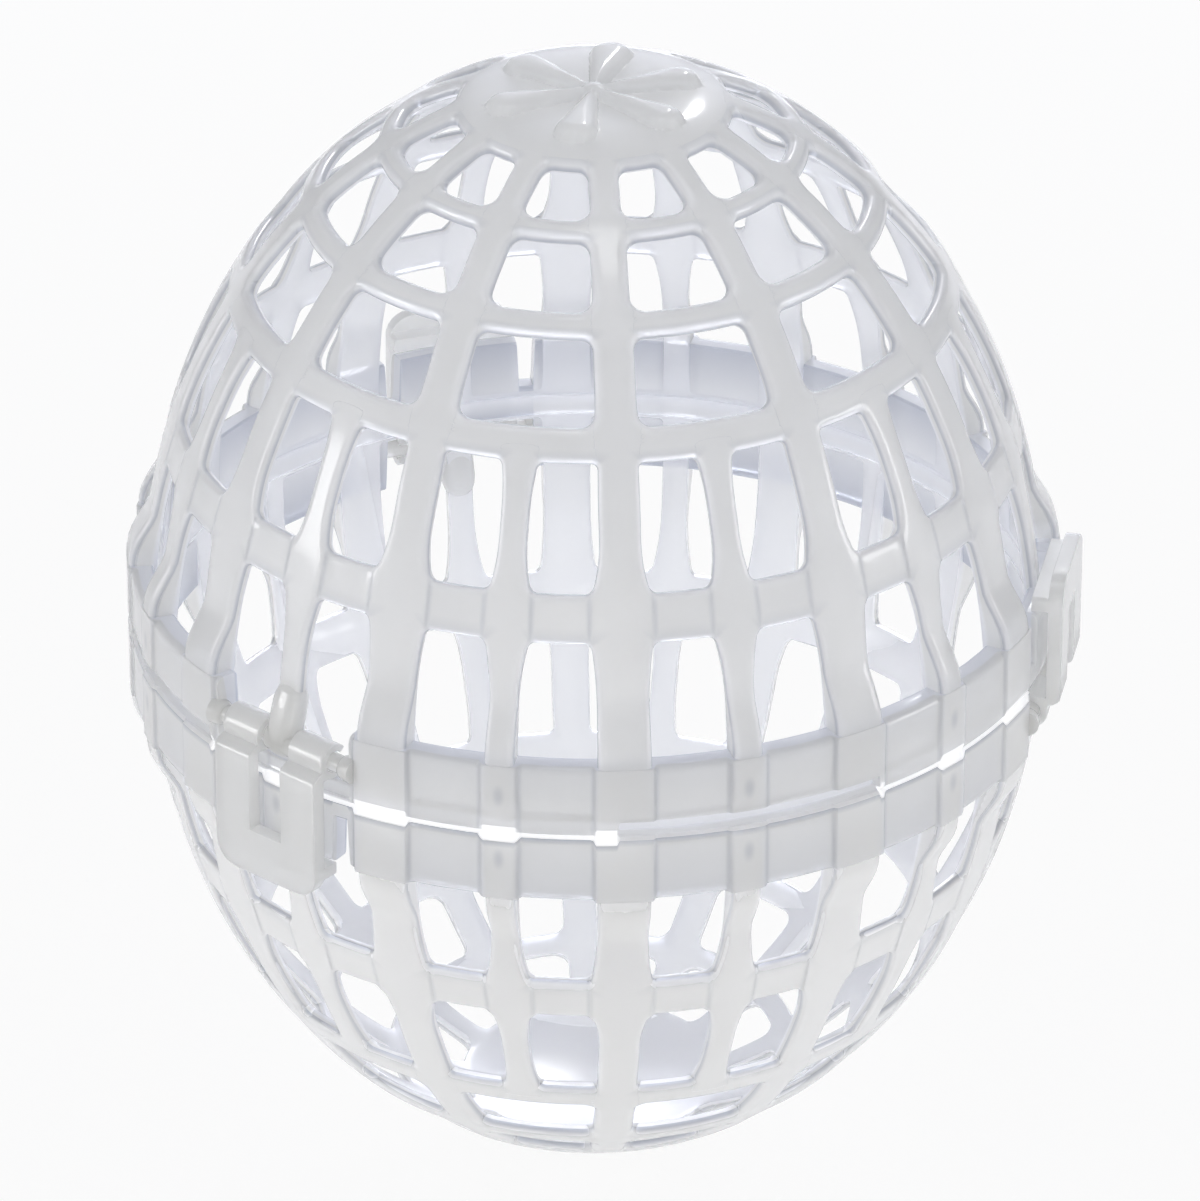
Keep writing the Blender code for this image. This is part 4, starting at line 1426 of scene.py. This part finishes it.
@dataclass
class Studio:
    """White floor, white surroundings, soft lamps and the camera."""

    camera_azimuth: float = -3.70
    camera_elevation: float = 28.65
    camera_distance: float = 1.48
    focal_pixels: float = 9035.0
    shift: tuple[float, float] = (6.3, 4.0)
    sensor: float = 36.0
    floor_radius: float = 2.5
    floor_drop: float = 0.2 * MM
    sky: str = "F5F6FA"
    sky_light: float = 0.38
    lamps: tuple[Lamp, ...] = (
        Lamp("lamp_front", -8.0, 6.0, 1.6, 0.4, 3.7, "FFFBF3", glints=False),
        Lamp("lamp_left", -80.0, 10.0, 1.3, 0.4, 2.5),
        Lamp("lamp_right", 75.0, 10.0, 1.3, 0.4, 2.0),
        Lamp("lamp_back", 172.0, 10.0, 1.4, 0.7, 12.0, "EDF0FF", glints=False),
        Lamp("lamp_top", 0.0, 80.0, 1.3, 0.3, 0.8),
        Lamp("lamp_glint", 166.0, 33.0, 1.4, 0.1, 0.8),
    )

    def add_floor(self) -> None:
        """Floor disc that the ball stands on."""
        bm = bmesh.new()
        bmesh.ops.create_circle(bm, cap_ends=True, segments=96, radius=self.floor_radius)
        mesh = bpy.data.meshes.new("studio_floor")
        bm.to_mesh(mesh)
        bm.free()
        mesh.materials.append(WhitePaper("white_paper_floor").make())
        floor = bpy.data.objects.new("studio_floor", mesh)
        floor.location = (0.0, 0.0, -self.floor_drop)
        bpy.context.scene.collection.objects.link(floor)

    def add_surroundings(self) -> None:
        """White surroundings: full white to the camera and through clear walls, dimmer as a light."""
        world = bpy.data.worlds.new("white_surroundings")
        bpy.context.scene.world = world
        tree = fresh_tree(world)
        path = add(tree, "LightPath", {}).outputs
        seen = add(tree, "Math", {"operation": "MAXIMUM"},
                   {0: path["Is Camera Ray"], 1: path["Is Transmission Ray"]})
        level = add(tree, "MapRange", {"To Min": self.sky_light, "To Max": 1.0}, {"Value": seen})
        sky = add(tree, "Background", {"Color": linear(self.sky)}, {"Strength": level})
        white = add(tree, "Background", {"Color": linear("FFFFFF"), "Strength": 1.0})
        mixed = add(tree, "MixShader", {}, {0: path["Is Camera Ray"], 1: sky, 2: white})
        add(tree, "OutputWorld", {}, {"Surface": mixed})

    def place(self, thing: bpy.types.Object, azimuth: float, elevation: float, distance: float) -> None:
        """Put a lamp or the camera at its place, and point it at the ball's middle.

        Args:
            thing: The lamp's or camera's object.
            azimuth: Azimuth in degrees.
            elevation: Elevation in degrees.
            distance: Distance from the ball's middle.
        """
        a, e = math.radians(azimuth), math.radians(elevation)
        outward = Vector((math.sin(a) * math.cos(e), -math.cos(a) * math.cos(e), math.sin(e)))
        thing.location = Vector((0, 0, SEAM_HEIGHT)) + outward * distance
        thing.rotation_euler = outward.to_track_quat("Z", "Y").to_euler()
        bpy.context.scene.collection.objects.link(thing)

    def add_lamp(self, lamp: Lamp) -> None:
        """Add a lamp.

        Args:
            lamp: Its settings.
        """
        data = bpy.data.lights.new(lamp.name, "AREA")
        data.shape = "SQUARE"
        data.size = lamp.size
        data.energy = lamp.power
        data.color = linear(lamp.colour)[:3]
        thing = bpy.data.objects.new(lamp.name, data)
        thing.visible_glossy = lamp.glints
        self.place(thing, lamp.azimuth, lamp.elevation, lamp.distance)

    def add_camera(self) -> None:
        """Camera at the photograph's angle, a long lens with a small shift."""
        data = bpy.data.cameras.new("camera")
        data.sensor_fit = "HORIZONTAL"
        data.sensor_width = self.sensor
        data.lens = self.sensor * self.focal_pixels / IMAGE_WIDTH
        data.shift_x = self.shift[0] / IMAGE_WIDTH
        data.shift_y = self.shift[1] / IMAGE_WIDTH
        camera = bpy.data.objects.new("camera", data)
        self.place(camera, self.camera_azimuth, self.camera_elevation, self.camera_distance)
        bpy.context.scene.camera = camera

    def build(self) -> None:
        """Set up the whole studio."""
        bpy.context.scene.view_settings.view_transform = "Standard"
        self.add_floor()
        self.add_surroundings()
        for lamp in self.lamps:
            self.add_lamp(lamp)
        self.add_camera()


def main() -> None:
    """Build the ball and its studio, and report each piece."""
    logging.basicConfig(level=logging.INFO, format="%(name)s %(message)s")
    shells = {
        Half.LOWER: MouldedPolypropylene("natural_polypropylene_lower"),
        # Same resin in both halves: the upper one's darker body is painted shade for its up-facing rows
        Half.UPPER: MouldedPolypropylene("natural_polypropylene_upper", body="E6E6E4"),
    }
    for half, finish in shells.items():
        material = finish.make()
        Cage(half).build(material)
        Band(half).build(material)
        for station in STATIONS:
            if station.rod_half is half:
                Rod(station).build(material)
    clear = MouldedPolypropylene("clear_polypropylene_clips", body="F4F5F6", roughness=0.36, clearness=0.45)
    clip_material = clear.make()
    for station in STATIONS:
        Clip(station).build(clip_material)
    Studio().build()


if __name__ == "__main__":
    main()
